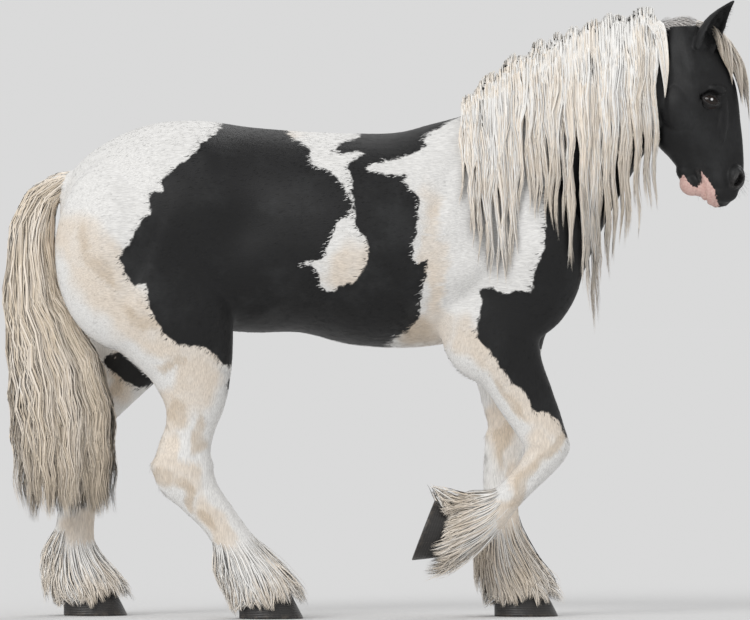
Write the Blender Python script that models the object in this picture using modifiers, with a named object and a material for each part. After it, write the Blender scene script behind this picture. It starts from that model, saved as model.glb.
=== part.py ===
"""A feathered cob, life size, standing on three legs with its right foreleg raised.

Metres, +Z up. The horse faces +X and its left side is +Y, so the raised leg is on the -Y side.
"""

import math
import random

import bpy
import numpy as np
from mathutils import Matrix, Vector
from mathutils.bvhtree import BVHTree

# Driving dimensions
FRAME_SHIFT = (0.0, 0.0, 0.0)
GAP = 0.0003
LOCK_GAP = 0.0009
BODY_VOXEL = 0.010
HEAD_VOXEL = 0.006
BODY_SOFTEN = 6
HEAD_SOFTEN = 4
BODY_TRIANGLES = 3500
HEAD_TRIANGLES = 1400
RING_POINTS = 28

HOOF_LENGTH = 0.192
HOOF_WIDTH = 0.165
HOOF_TOE_HEIGHT = 0.088
HOOF_HEEL_HEIGHT = 0.060
HOOF_NARROWING = 0.22
HOOF_SET_BACK = 0.022
HOOF_LEVELS = (0, 0.34, 0.67, 1)

EYE_RADIUS = 0.0215
EYE_CENTRE = (0.974, 0.0805, 1.519)
LID_THICKNESS = 0.0045
# Opening of the lids: half length and height, and from where to where it runs beside the eye's middle
EYE_OPENING = (0.0185, 0.0105)
EYE_OPENING_DEPTHS = (0.0047, 0.060)
EYE_SLANT = 0.34
NOSTRIL_CENTRE = (1.056, 0.048, 1.284)
NOSTRIL_SIZE = (0.011, 0.022, 0.021)
NOSTRIL_TURN = (28, -24)
MOUTH_GAP = 0.0035
# Line of the mouth from its corner to the lips: x, z, how near the middle the slit reaches
MOUTH_LINE = [
    (0.948, 1.333, 0.046), (0.958, 1.309, 0.030), (0.975, 1.278, 0.020), (0.990, 1.244, 0.008),
    (1.006, 1.180, -0.001),
]

# Trunk sections: x, top, bottom, half width, how flat the back is (1 is round, less is flatter)
TRUNK = [
    (-0.935, 1.245, 0.990, 0.075, 0.95),
    (-0.880, 1.338, 0.910, 0.160, 0.90),
    (-0.778, 1.411, 0.900, 0.225, 0.85),
    (-0.667, 1.453, 0.905, 0.262, 0.80),
    (-0.520, 1.464, 0.850, 0.278, 0.82),
    (-0.374, 1.445, 0.832, 0.285, 0.86),
    (-0.227, 1.433, 0.832, 0.302, 0.90),
    (-0.081, 1.427, 0.798, 0.315, 0.95),
    (0.066, 1.430, 0.788, 0.305, 1.05),
    (0.183, 1.459, 0.797, 0.275, 1.20),
    (0.300, 1.480, 0.824, 0.245, 1.25),
    (0.418, 1.415, 0.868, 0.220, 1.05),
    (0.520, 1.283, 0.910, 0.190, 0.95),
    (0.590, 1.151, 0.985, 0.115, 0.90),
]

# Neck: crest x, z, underside x, z, half width
NECK = [
    (0.183, 1.434, 0.491, 0.844, 0.170),
    (0.294, 1.510, 0.590, 0.967, 0.150),
    (0.423, 1.600, 0.640, 1.072, 0.130),
    (0.558, 1.664, 0.690, 1.184, 0.112),
    (0.687, 1.708, 0.742, 1.283, 0.100),
    (0.793, 1.725, 0.797, 1.371, 0.092),
    (0.890, 1.730, 0.856, 1.430, 0.082),
]

# Head: face line x, z, jaw line x, z, half widths at the face, the middle and the jaw
HEAD = [
    (0.945, 1.740, 0.851, 1.734, 0.030, 0.050, 0.050),
    (0.985, 1.700, 0.822, 1.668, 0.050, 0.078, 0.070),
    (1.022, 1.635, 0.806, 1.591, 0.074, 0.098, 0.078),
    (1.050, 1.576, 0.803, 1.518, 0.077, 0.106, 0.082),
    (1.062, 1.518, 0.806, 1.443, 0.062, 0.104, 0.084),
    (1.068, 1.459, 0.822, 1.386, 0.048, 0.088, 0.076),
    (1.074, 1.406, 0.857, 1.349, 0.041, 0.072, 0.056),
    (1.077, 1.362, 0.882, 1.320, 0.039, 0.061, 0.043),
    (1.078, 1.321, 0.918, 1.298, 0.042, 0.060, 0.043),
    (1.073, 1.277, 0.940, 1.257, 0.046, 0.063, 0.044),
    (1.055, 1.236, 0.960, 1.225, 0.040, 0.052, 0.036),
    (1.028, 1.207, 0.992, 1.201, 0.018, 0.026, 0.018),
]
# Rounded forms fused into the head on both sides: centre, size
HEAD_FORMS = [
    ((0.985, 0.066, 1.548), (0.040, 0.032, 0.020)),
    ((0.900, 0.070, 1.500), (0.075, 0.030, 0.080)),
    ((1.051, 0.036, 1.292), (0.030, 0.030, 0.040)),
    ((1.016, 0.030, 1.250), (0.045, 0.030, 0.036)),
    ((1.012, 0.052, 1.470), (0.020, 0.022, 0.080)),
]
CHIN_FORMS = [
    ((0.926, 0.0, 1.273), (0.040, 0.035, 0.037)),
    ((0.950, 0.0, 1.259), (0.028, 0.033, 0.027)),
    ((0.911, 0.0, 1.314), (0.035, 0.031, 0.038)),
]

# Legs: centre x, z, half depth, half width, y
HIND_RIGHT = [
    (-0.640, 1.290, 0.150, 0.080, -0.120),
    (-0.690, 1.181, 0.230, 0.120, -0.150),
    (-0.667, 1.005, 0.266, 0.125, -0.155),
    (-0.585, 0.844, 0.182, 0.100, -0.165),
    (-0.544, 0.721, 0.126, 0.078, -0.165),
    (-0.535, 0.639, 0.098, 0.064, -0.163),
    (-0.549, 0.551, 0.076, 0.050, -0.160),
    (-0.566, 0.478, 0.085, 0.052, -0.158),
    (-0.563, 0.428, 0.096, 0.054, -0.158),
    (-0.529, 0.369, 0.073, 0.048, -0.158),
    (-0.472, 0.299, 0.060, 0.043, -0.158),
    (-0.426, 0.234, 0.060, 0.044, -0.158),
    (-0.388, 0.176, 0.065, 0.052, -0.158),
    (-0.352, 0.126, 0.060, 0.053, -0.158),
    (-0.322, 0.075, 0.067, 0.066, -0.158),
    (-0.300, 0.040, 0.067, 0.066, -0.158),
]
HIND_LEFT = [
    (-0.640, 1.290, 0.150, 0.080, 0.120),
    (-0.690, 1.181, 0.230, 0.120, 0.150),
    (-0.700, 1.005, 0.260, 0.125, 0.155),
    (-0.700, 0.858, 0.182, 0.100, 0.165),
    (-0.757, 0.750, 0.123, 0.078, 0.165),
    (-0.810, 0.668, 0.097, 0.064, 0.163),
    (-0.854, 0.595, 0.079, 0.050, 0.160),
    (-0.878, 0.530, 0.082, 0.051, 0.158),
    (-0.884, 0.475, 0.084, 0.052, 0.158),
    (-0.886, 0.398, 0.064, 0.046, 0.158),
    (-0.890, 0.302, 0.060, 0.043, 0.158),
    (-0.896, 0.235, 0.064, 0.045, 0.158),
    (-0.894, 0.182, 0.070, 0.053, 0.158),
    (-0.878, 0.129, 0.064, 0.054, 0.158),
    (-0.846, 0.075, 0.067, 0.066, 0.158),
    (-0.830, 0.040, 0.067, 0.066, 0.158),
]
FORE_RIGHT = [
    (0.359, 0.976, 0.176, 0.085, -0.140),
    (0.350, 0.803, 0.152, 0.081, -0.150),
    (0.388, 0.732, 0.105, 0.068, -0.152),
    (0.435, 0.639, 0.087, 0.058, -0.150),
    (0.479, 0.551, 0.073, 0.052, -0.148),
    (0.499, 0.500, 0.063, 0.054, -0.147),
    (0.471, 0.453, 0.055, 0.049, -0.146),
    (0.424, 0.400, 0.048, 0.041, -0.145),
    (0.372, 0.346, 0.049, 0.041, -0.143),
    (0.324, 0.300, 0.060, 0.051, -0.142),
    (0.269, 0.262, 0.060, 0.053, -0.141),
    (0.219, 0.240, 0.066, 0.066, -0.140),
    (0.187, 0.230, 0.066, 0.066, -0.140),
]
FORE_LEFT = [
    (0.359, 0.976, 0.176, 0.085, 0.140),
    (0.365, 0.829, 0.141, 0.080, 0.145),
    (0.379, 0.727, 0.103, 0.066, 0.138),
    (0.388, 0.633, 0.084, 0.056, 0.125),
    (0.394, 0.551, 0.072, 0.052, 0.112),
    (0.381, 0.498, 0.069, 0.051, 0.105),
    (0.363, 0.404, 0.056, 0.042, 0.095),
    (0.365, 0.302, 0.056, 0.043, 0.086),
    (0.372, 0.211, 0.062, 0.051, 0.080),
    (0.392, 0.138, 0.054, 0.050, 0.076),
    (0.425, 0.075, 0.067, 0.066, 0.074),
    (0.445, 0.040, 0.067, 0.066, 0.074),
]
SHOULDER = [
    (0.270, 1.400, 0.120, 0.050, 0.075),
    (0.345, 1.250, 0.165, 0.070, 0.135),
    (0.425, 1.080, 0.185, 0.085, 0.155),
    (0.400, 0.950, 0.170, 0.085, 0.150),
    (0.360, 0.860, 0.120, 0.070, 0.150),
]
LEGS = {
    "right_hind": HIND_RIGHT,
    "left_hind": HIND_LEFT,
    "right_front": FORE_RIGHT,
    "left_front": FORE_LEFT,
}
# Muscles and hollows on both flanks: x, z, radius, height
MUSCLES = [
    (-0.500, 1.365, 0.050, 0.008),
    (-0.400, 1.130, 0.085, -0.012),
    (-0.480, 0.910, 0.070, 0.010),
    (-0.780, 1.100, 0.110, 0.008),
    (0.500, 1.090, 0.065, 0.012),
    (0.270, 1.020, 0.085, 0.014),
    (0.225, 0.890, 0.040, 0.010),
    (0.215, 1.200, 0.070, -0.006),
    (0.420, 1.230, 0.050, -0.005),
    (0.560, 1.350, 0.080, 0.006),
]

# Hooves: middle of the sole, the way up from it, the way the toe points
HOOVES = {
    "right_hind": ((-0.312, -0.158, 0.0), (0, 0, 1), (1, 0, 0)),
    "left_hind": ((-0.834, 0.158, 0.0), (0, 0, 1), (1, 0, 0)),
    "left_front": ((0.437, 0.074, 0.0), (0, 0, 1), (1, 0, 0)),
    "right_front": ((0.134, -0.140, 0.259), (0.933, 0, -0.36), (-0.36, 0, -0.933)),
}
# Where each leg leaves the trunk: a point on the plane, the way into the leg, fore-aft size
LEG_CUTS = {
    "right_hind": ((-0.650, -0.176, 0.930), (-0.340, -0.08, -0.934), 1.30),
    "left_hind": ((-0.650, 0.176, 0.930), (-0.340, 0.08, -0.934), 1.30),
    "right_front": ((0.360, -0.176, 0.835), (0.100, -0.06, -0.990), 0.62),
    "left_front": ((0.360, 0.176, 0.835), (0.080, 0.06, -0.990), 0.62),
}
# Where each lower leg starts, below the hock or the knee
LOWER_CUTS = {
    "right_hind": ((-0.530, -0.158, 0.352), (0.55, 0, -0.83)),
    "left_hind": ((-0.887, 0.158, 0.385), (0, 0, -1)),
    "right_front": ((0.458, -0.146, 0.428), (-0.72, 0, -0.69)),
    "left_front": ((0.377, 0.100, 0.440), (-0.10, 0, -0.99)),
}
LEG_BOX = 0.35
UPPER_NAMES = {
    "right_hind": "right_thigh",
    "left_hind": "left_thigh",
    "right_front": "right_forearm",
    "left_front": "left_forearm",
}
NECK_CUT = ((0.420, 0.0, 1.290), (0.727, 0.0, 0.687))
HEAD_CUT = ((0.838, 0.0, 1.560), (0.985, 0.0, -0.172))

# Ear: base, tip, half width and wall of the cup, and the way that the cup faces
EAR_BASE = (0.952, 0.060, 1.682)
EAR_TIP = (1.050, 0.080, 1.812)
EAR_WIDTH = 0.040
EAR_WALL = 0.004
EAR_FACING = (0.62, 0.62, -0.40)
# Ear rings: level up the ear, share of the half width, bend toward the cup's opening
EAR_RINGS = [
    (-0.12, 0.80, 0.014), (0.05, 1.00, 0.012), (0.20, 1.08, 0.008), (0.36, 1.04, 0.004),
    (0.52, 0.90, 0.001), (0.68, 0.68, 0.000), (0.82, 0.44, 0.000), (0.93, 0.22, 0.000),
    (1.0, 0.06, -0.001),
]

# Tail: centre x, z, half depth, half width, y
TAIL = [
    (-0.800, 1.275, 0.030, 0.032, 0.000),
    (-0.880, 1.285, 0.034, 0.036, 0.000),
    (-0.955, 1.262, 0.048, 0.046, -0.005),
    (-1.006, 1.185, 0.063, 0.056, -0.012),
    (-1.016, 1.050, 0.071, 0.064, -0.022),
    (-1.008, 0.920, 0.090, 0.070, -0.030),
    (-0.970, 0.800, 0.120, 0.074, -0.034),
    (-0.929, 0.620, 0.150, 0.074, -0.036),
    (-0.918, 0.450, 0.150, 0.070, -0.036),
    (-0.911, 0.278, 0.146, 0.050, -0.036),
]

# Locks: half width, half thickness
MANE_LOCK = (0.0250, 0.0065)
FORELOCK_LOCK = (0.019, 0.0045)
TAIL_LOCK = (0.040, 0.0080)
FEATHER_LOCK = (0.031, 0.0050)
# How far a lock's middle lies off the skin, beyond half its own thickness
LAY = 0.0015

# Mane: where its roots start and end along the crest, its rise over the crest, locks in each row
MANE_ROOT_SPAN = (0.175, 0.935)
MANE_LIFT = 0.044
MANE_UNDER = 11
MANE_OVER = 10
MANE_FAR = 7
MANE_LEVEL = 0.015
MANE_ROOT_DEPTH = 0.030
MANE_TURN = 0.052
MANE_SWAY = 0.012
MANE_SHORTEST = 0.10
MANE_FALL = 0.8
MANE_FAR_LENGTHS = (0.20, 0.34)
# Height of the mane's tips along the crest, from the withers to the poll
MANE_TIPS = [
    (0.00, 1.16), (0.06, 1.02), (0.13, 0.97), (0.20, 1.12), (0.27, 1.28), (0.34, 1.18),
    (0.45, 1.02), (0.62, 0.88), (0.70, 0.96), (0.80, 1.14), (0.88, 1.16), (0.94, 1.26),
    (1.00, 1.42),
]

# Forelock: locks over the face, their lengths and root, and where the short poll locks stand
FORELOCK_COUNT = 5
FORELOCK_SPREAD = 0.030
FORELOCK_LENGTHS = (0.23, 0.31)
FORELOCK_ROOT = (0.930, 1.706)
FORELOCK_TOP = (0.958, 1.757)
FORELOCK_FALL = 0.95
POLL_LOCKS = [(0.885, -1), (0.905, 1), (0.918, -1)]
POLL_LENGTHS = (0.12, 0.15)
POLL_TOP = 1.764
POLL_FALL = 1.3

# Tail: locks in each ring and the ring's share of the tail's thickness
TAIL_RINGS = [(12, 1.0), (3, 0.42)]
TAIL_STAGGER = 0.16
TAIL_STEPS = 6
TAIL_RIPPLE = 0.005
DOCK_SHARE = 0.42
DOCK_RADIUS = 0.036

# Rings of feather locks: place along the leg (a station), locks, length, flare, spread from the back
FEATHER_RINGS = {
    "right_hind": [
        (10.7, 2, 0.130, 0.22, 0.7), (11.7, 5, 0.185, 0.30, 2.6), (12.6, 5, 0.150, 0.45, 2.75),
    ],
    "left_hind": [
        (10.9, 2, 0.130, 0.22, 0.7), (11.7, 5, 0.185, 0.30, 2.6), (12.6, 5, 0.150, 0.45, 2.75),
    ],
    "left_front": [
        (7.0, 2, 0.130, 0.22, 0.7), (7.7, 5, 0.190, 0.30, 2.6), (8.6, 5, 0.155, 0.45, 2.75),
    ],
    "right_front": [
        (8.0, 2, 0.120, 0.22, 0.7), (8.8, 5, 0.175, 0.28, 2.6), (9.7, 5, 0.145, 0.42, 2.75),
    ],
}
FEATHER_ROOT_SHARE = 0.72
FEATHER_FRONT_SHARE = 0.88
FEATHER_FALL = 0.30
RAISED_FEATHER_FALL = 0.04
FLOOR_CLEARANCE = 0.006

# Colours of the nodes
COLOURS = {
    "white": (0.85, 0.82, 0.76, 1),
    "black": (0.020, 0.020, 0.022, 1),
    "cream": (0.78, 0.70, 0.58, 1),
    "horn": (0.025, 0.023, 0.022, 1),
    "eye": (0.012, 0.008, 0.006, 1),
}


def clear_scene():
    for obj in list(bpy.data.objects):
        bpy.data.objects.remove(obj, do_unlink=True)


def new_collection(name):
    collection = bpy.data.collections.new(name)
    bpy.context.scene.collection.children.link(collection)
    return collection


def new_object(name, vertices, faces, collection):
    mesh = bpy.data.meshes.new(name)
    mesh.from_pydata([tuple(v) for v in vertices], [], faces)
    mesh.update()
    obj = bpy.data.objects.new(name, mesh)
    collection.objects.link(obj)
    return obj


def smooth_rows(rows, count):
    """The stations' values read evenly along a smooth curve through them."""
    rows = np.asarray(rows, float)
    steps = np.linalg.norm(np.diff(rows[:, :2], axis=0), axis=1)
    along = np.concatenate([[0], np.cumsum(steps)])
    slopes = np.gradient(rows, along, axis=0)
    wanted = np.linspace(0, along[-1], count)
    index = np.clip(np.searchsorted(along, wanted, side="right") - 1, 0, len(rows) - 2)
    span = (along[index + 1] - along[index])[:, None]
    t = ((wanted - along[index])[:, None]) / span
    return (
        rows[index] * (2 * t**3 - 3 * t**2 + 1)
        + slopes[index] * span * (t**3 - 2 * t**2 + t)
        + rows[index + 1] * (3 * t**2 - 2 * t**3)
        + slopes[index + 1] * span * (t**3 - t**2)
    )


def signed_volume(obj):
    mesh = obj.data
    mesh.calc_loop_triangles()
    points = read_points(mesh)
    triangles = np.array([t.vertices[:] for t in mesh.loop_triangles])
    return float(np.linalg.det(points[triangles]).sum())


def loft(name, rings, collection):
    """A closed tube through rings that all have the same number of points."""
    count, around = len(rings), len(rings[0])
    faces = []
    for i in range(count - 1):
        for j in range(around):
            k = (j + 1) % around
            a, b = i * around, (i + 1) * around
            faces.append((a + j, a + k, b + k))
            faces.append((a + j, b + k, b + j))
    faces.append(tuple(range(around - 1, -1, -1)))
    faces.append(tuple(range((count - 1) * around, count * around)))
    obj = new_object(name, np.concatenate(rings), faces, collection)
    if signed_volume(obj) < 0:
        obj.data.flip_normals()
    return obj


def ring_angles(count=RING_POINTS):
    return np.linspace(0, 2 * math.pi, count, endpoint=False)


def rounded(values, power):
    return np.sign(values) * np.abs(values) ** power


def trunk_rings():
    angles = ring_angles(36)
    rings = []
    for x, top, bottom, half_width, flatness in smooth_rows(TRUNK, 40):
        middle = bottom + 0.50 * (top - bottom)
        up = np.cos(angles)
        z = np.where(
            up > 0,
            middle + (top - middle) * rounded(up, flatness),
            middle + (middle - bottom) * rounded(up, 0.88),
        )
        y = half_width * rounded(np.sin(angles), 0.92)
        rings.append(np.stack([np.full_like(y, x), y, z], axis=1))
    return rings


def limb_rings(stations, side=1.0, count=44, power=0.94):
    """Rings across a limb's path, which lies in the XZ plane and drifts in Y."""
    rows = smooth_rows(stations, count)
    path = np.gradient(rows[:, :2], axis=0)
    path /= np.linalg.norm(path, axis=1)[:, None]
    angles = ring_angles()
    rings = []
    for (x, z, depth, width, y), (dx, dz) in zip(rows, path):
        fore = depth * rounded(np.cos(angles), power)
        across = side * y + width * rounded(np.sin(angles), power)
        rings.append(np.stack([x + fore * dz, across, z - fore * dx], axis=1))
    return rings


def neck_rings(first=0):
    """Egg-shaped rings, narrow at the crest and full at the windpipe."""
    angles = ring_angles()
    up = np.cos(angles)
    narrow = 1 - 0.34 * np.clip(up, 0, 1) ** 1.5
    rings = []
    for top_x, top_z, low_x, low_z, width in smooth_rows(NECK, 30)[first:]:
        mid_x, mid_z = (top_x + low_x) / 2, (top_z + low_z) / 2
        x = mid_x + (top_x - low_x) / 2 * rounded(up, 0.9)
        y = width * narrow * rounded(np.sin(angles), 0.9)
        z = mid_z + (top_z - low_z) / 2 * rounded(up, 0.9)
        rings.append(np.stack([x, y, z], axis=1))
    return rings


def head_rings():
    angles = ring_angles(32)
    u = rounded(np.cos(angles), 0.80)
    rings = []
    for face_x, face_z, jaw_x, jaw_z, w_face, w_mid, w_jaw in smooth_rows(HEAD, 48):
        mid_x, mid_z = (face_x + jaw_x) / 2, (face_z + jaw_z) / 2
        width = np.interp(u, [-1, -0.7, 0.1, 0.8, 1], [w_jaw, w_jaw, w_mid, w_face, w_face])
        x = mid_x + (face_x - jaw_x) / 2 * u
        y = width * rounded(np.sin(angles), 0.72)
        z = mid_z + (face_z - jaw_z) / 2 * u
        rings.append(np.stack([x, y, z], axis=1))
    return rings


def move_to(obj, collection):
    for old in list(obj.users_collection):
        old.objects.unlink(obj)
    collection.objects.link(obj)
    return obj


def ball(name, centre, size, collection, segments=20, turn=None):
    bpy.ops.mesh.primitive_uv_sphere_add(segments=segments, ring_count=segments // 2)
    obj = bpy.context.object
    obj.name = name
    matrix = Matrix.Diagonal((*size, 1))
    if turn is not None:
        matrix = turn @ matrix
    obj.data.transform(Matrix.Translation(centre) @ matrix)
    return move_to(obj, collection)


def evaluated_copy(obj, name, collection):
    graph = bpy.context.evaluated_depsgraph_get()
    mesh = bpy.data.meshes.new_from_object(obj.evaluated_get(graph))
    copy = bpy.data.objects.new(name, mesh)
    collection.objects.link(copy)
    return copy


def apply_modifiers(obj):
    graph = bpy.context.evaluated_depsgraph_get()
    mesh = bpy.data.meshes.new_from_object(obj.evaluated_get(graph))
    obj.modifiers.clear()
    obj.data = mesh
    return obj


def join(name, objects, collection):
    vertices, faces = [], []
    for obj in objects:
        start = len(vertices)
        vertices += [tuple(v.co) for v in obj.data.vertices]
        faces += [tuple(start + i for i in p.vertices) for p in obj.data.polygons]
        bpy.data.objects.remove(obj)
    return new_object(name, vertices, faces, collection)


def fuse(name, objects, voxel, rounds, collection):
    """Overlapping closed forms become one skin, with soft hollows where they meet."""
    body = join(name, objects, collection)
    remesh = body.modifiers.new("skin", "REMESH")
    remesh.mode = "VOXEL"
    remesh.voxel_size = voxel
    soften = body.modifiers.new("soften", "SMOOTH")
    soften.factor = 0.5
    soften.iterations = rounds
    return apply_modifiers(body)


def read_points(mesh):
    points = np.empty(len(mesh.vertices) * 3)
    mesh.vertices.foreach_get("co", points)
    return points.reshape(-1, 3)


def write_points(mesh, points):
    mesh.vertices.foreach_set("co", points.ravel())
    mesh.update()


def read_normals(mesh):
    normals = np.empty(len(mesh.vertices) * 3)
    mesh.vertices.foreach_get("normal", normals)
    return normals.reshape(-1, 3)


def raise_muscles(obj):
    """Each muscle is a soft bump that moves the flank along its normal."""
    points, normals = read_points(obj.data), read_normals(obj.data)
    height = np.zeros(len(points))
    for x, z, radius, rise in MUSCLES:
        distance = (points[:, 0] - x) ** 2 + (points[:, 2] - z) ** 2
        height += rise * np.exp(-distance / radius**2)
    height *= np.clip(np.abs(normals[:, 1]) * 1.4 - 0.2, 0, 1)
    write_points(obj.data, points + normals * height[:, None])


def triangle_count(obj):
    obj.data.calc_loop_triangles()
    return len(obj.data.loop_triangles)


def thin_out(obj, triangles):
    modifier = obj.modifiers.new("fewer", "DECIMATE")
    modifier.ratio = min(1.0, triangles / triangle_count(obj))
    return apply_modifiers(obj)


def cutter_box(name, point, into, size, back, collection):
    """A box that starts at a plane through point, less back, and runs 1.3 m along into."""
    bpy.ops.mesh.primitive_cube_add(size=1)
    obj = bpy.context.object
    obj.name = name
    into = Vector(into).normalized()
    fore = Vector((0, 1, 0)).cross(into).normalized()
    side = into.cross(fore)
    turn = Matrix((fore, side, into)).transposed().to_4x4()
    length = 1.3
    stretch = Matrix.Diagonal((size[0], size[1], length + back, 1))
    shift = Matrix.Translation((0, 0, (length - back) / 2))
    obj.data.transform(Matrix.Translation(point) @ turn @ shift @ stretch)
    move_to(obj, collection)
    obj.hide_render = True
    obj.display_type = "WIRE"
    return obj


def boolean(obj, cutter, operation, solver="EXACT"):
    modifier = obj.modifiers.new("cut", "BOOLEAN")
    modifier.object = cutter
    modifier.operation = operation
    modifier.solver = solver
    return apply_modifiers(obj)


def reach(objects):
    points = np.concatenate([read_points(obj.data) for obj in objects])
    return np.concatenate([points.max(axis=0), -points.min(axis=0)])


def is_closed(obj):
    """True where every edge has exactly two faces."""
    mesh = obj.data
    edge_uses = np.empty(len(mesh.loops), int)
    mesh.loops.foreach_get("edge_index", edge_uses)
    return bool(np.all(np.bincount(edge_uses, minlength=len(mesh.edges)) == 2))


def union_all(obj, pieces):
    """Joins closed pieces to obj with one Boolean and removes them."""
    group = new_collection("pieces")
    for piece in pieces:
        move_to(piece, group)
    wanted = reach([obj] + pieces)
    start = obj.data
    for solver in ("EXACT", "MANIFOLD"):
        obj.data = start
        modifier = obj.modifiers.new("join", "BOOLEAN")
        modifier.operand_type = "COLLECTION"
        modifier.collection = group
        modifier.operation = "UNION"
        modifier.solver = solver
        largest_shell(apply_modifiers(obj))
        if is_closed(obj) and np.all(reach([obj]) > wanted - 0.004):
            break
        print(obj.name, solver, "left something open or out")
    for piece in pieces:
        bpy.data.objects.remove(piece)
    bpy.data.collections.remove(group)
    return obj


def largest_shell(obj):
    """Keeps the closed surface with the most volume and drops any scrap."""
    mesh = obj.data
    if not mesh.edges:
        return obj
    parent = np.arange(len(mesh.vertices))
    edges = np.array([e.vertices[:] for e in mesh.edges])
    changed = True
    while changed:
        low = np.minimum(parent[edges[:, 0]], parent[edges[:, 1]])
        before = parent.copy()
        np.minimum.at(parent, edges[:, 0], low)
        np.minimum.at(parent, edges[:, 1], low)
        parent = parent[parent]
        changed = not np.array_equal(before, parent)
    points = read_points(mesh)
    mesh.calc_loop_triangles()
    triangles = np.array([t.vertices[:] for t in mesh.loop_triangles])
    volumes = np.linalg.det(points[triangles])
    labels = parent[triangles[:, 0]]
    totals = {label: volumes[labels == label].sum() for label in np.unique(labels)}
    kept = parent == max(totals, key=totals.get)
    index = np.cumsum(kept) - 1
    faces = []
    for polygon in mesh.polygons:
        if kept[polygon.vertices[0]]:
            faces.append(tuple(int(index[i]) for i in polygon.vertices))
    fresh = bpy.data.meshes.new(mesh.name)
    fresh.from_pydata([tuple(p) for p in points[kept]], [], faces)
    fresh.update()
    obj.data = fresh
    return obj


def cut_away(obj, point, into, size, helpers):
    """Removes what lies beyond a plane."""
    box = cutter_box("cut_box", point, into, size, 0.0, helpers)
    boolean(obj, box, "DIFFERENCE")
    bpy.data.objects.remove(box)
    return largest_shell(obj)


def part_off(body, name, point, into, size, collection, helpers):
    """Cuts the piece beyond a plane from body, and leaves GAP between the two."""
    piece = evaluated_copy(body, name, collection)
    box = cutter_box("near_box", point, into, size, 0.0, helpers)
    boolean(piece, box, "INTERSECT")
    wide = cutter_box("wide_box", point, into, (size[0] + GAP, size[1] + GAP), GAP, helpers)
    boolean(body, wide, "DIFFERENCE")
    bpy.data.objects.remove(box)
    bpy.data.objects.remove(wide)
    return largest_shell(piece)


def grown_copy(obj, amount, collection):
    copy = evaluated_copy(obj, obj.name + "_grown", collection)
    write_points(copy.data, read_points(copy.data) + read_normals(copy.data) * amount)
    copy.hide_render = True
    return copy


def cut_clear(obj, others, helpers, amount=1.5 * GAP, solver="EXACT"):
    """Trims obj where it would meet a neighbour."""
    for other in others:
        copy = grown_copy(other, amount, helpers)
        boolean(obj, copy, "DIFFERENCE", solver)
        bpy.data.objects.remove(copy)
    return largest_shell(obj)


def hoof(name, sole, up, toe, collection):
    """A hoof as rings from the flat sole to the slanted coronet."""
    sole, up, toe = Vector(sole), Vector(up).normalized(), Vector(toe).normalized()
    side = np.array(up.cross(toe))
    sole, up, toe = np.array(sole), np.array(up), np.array(toe)
    angles = ring_angles(20)
    forward = np.cos(angles)
    middle = (HOOF_TOE_HEIGHT + HOOF_HEEL_HEIGHT) / 2
    rise = (HOOF_TOE_HEIGHT - HOOF_HEEL_HEIGHT) / HOOF_LENGTH
    rings = []
    for level in HOOF_LEVELS:
        length = HOOF_LENGTH * (1 - HOOF_NARROWING * level)
        width = HOOF_WIDTH * (1 - HOOF_NARROWING * 0.7 * level)
        fore = length / 2 * rounded(forward, 0.85) - HOOF_SET_BACK * level
        across = width / 2 * rounded(np.sin(angles), 0.85)
        across = across * (1 - 0.14 * np.clip(-forward, 0, 1))
        height = (middle + rise * fore) * level
        ring = sole + np.outer(fore, toe) + np.outer(across, side) + np.outer(height, up)
        rings.append(ring)
    return loft(name, rings, collection)


def coronet_plane(sole, up, toe):
    """A point on the hoof's slanted top, and the way through it into the hoof."""
    sole, up, toe = Vector(sole), Vector(up).normalized(), Vector(toe).normalized()
    middle = (HOOF_TOE_HEIGHT + HOOF_HEEL_HEIGHT) / 2
    rise = (HOOF_TOE_HEIGHT - HOOF_HEEL_HEIGHT) / HOOF_LENGTH
    into = -(up - toe * rise).normalized()
    return sole + up * middle - into * GAP, into


def build_body(helpers):
    forms = [
        loft("trunk", trunk_rings(), helpers),
        loft("neck_form", neck_rings(), helpers),
        loft("skull_form", head_rings(), helpers),
    ]
    for stations in (HIND_RIGHT, HIND_LEFT, FORE_RIGHT, FORE_LEFT):
        forms.append(loft("leg", limb_rings(stations), helpers))
    for side in (-1, 1):
        forms.append(loft("shoulder", limb_rings(SHOULDER, side), helpers))
    body = fuse("body", forms, BODY_VOXEL, BODY_SOFTEN, helpers)
    raise_muscles(body)
    return thin_out(body, BODY_TRIANGLES)


def mirrored(centre, side):
    return (centre[0], centre[1] * side, centre[2])


def eye_opening(side, collection):
    """An almond-shaped plug that opens the lids toward the side."""
    count = 14
    rings = []
    half_long, half_high = EYE_OPENING
    for depth in EYE_OPENING_DEPTHS:
        ring = []
        for i in range(count):
            angle = 2 * math.pi * i / count
            long = half_long * math.copysign(abs(math.cos(angle)) ** 1.15, math.cos(angle))
            high = half_high * math.sin(angle)
            x = EYE_CENTRE[0] + long * 0.94 + high * 0.25
            z = EYE_CENTRE[2] + high - long * EYE_SLANT
            ring.append((x, side * (EYE_CENTRE[1] + depth), z))
        rings.append(np.array(ring))
    return loft("eye_opening", rings, collection)


def mouth_slit(side, collection):
    """A thin bent blade along the line of the mouth, deeper toward the front."""
    rings = []
    for i, (x, z, inner) in enumerate(MOUTH_LINE):
        before, after = MOUTH_LINE[max(i - 1, 0)], MOUTH_LINE[min(i + 1, len(MOUTH_LINE) - 1)]
        along = Vector((after[0] - before[0], 0, after[1] - before[1])).normalized()
        half = MOUTH_GAP / 2 * (0.15 if i == 0 else 1)
        across = Vector((-along.z, 0, along.x)) * half
        near, far = side * inner, side * 0.10
        centre = Vector((x, 0, z))
        ring = [
            centre + across + Vector((0, near, 0)),
            centre + across + Vector((0, far, 0)),
            centre - across + Vector((0, far, 0)),
            centre - across + Vector((0, near, 0)),
        ]
        rings.append(np.array(ring))
    return loft("mouth_slit", rings, collection)


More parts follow.
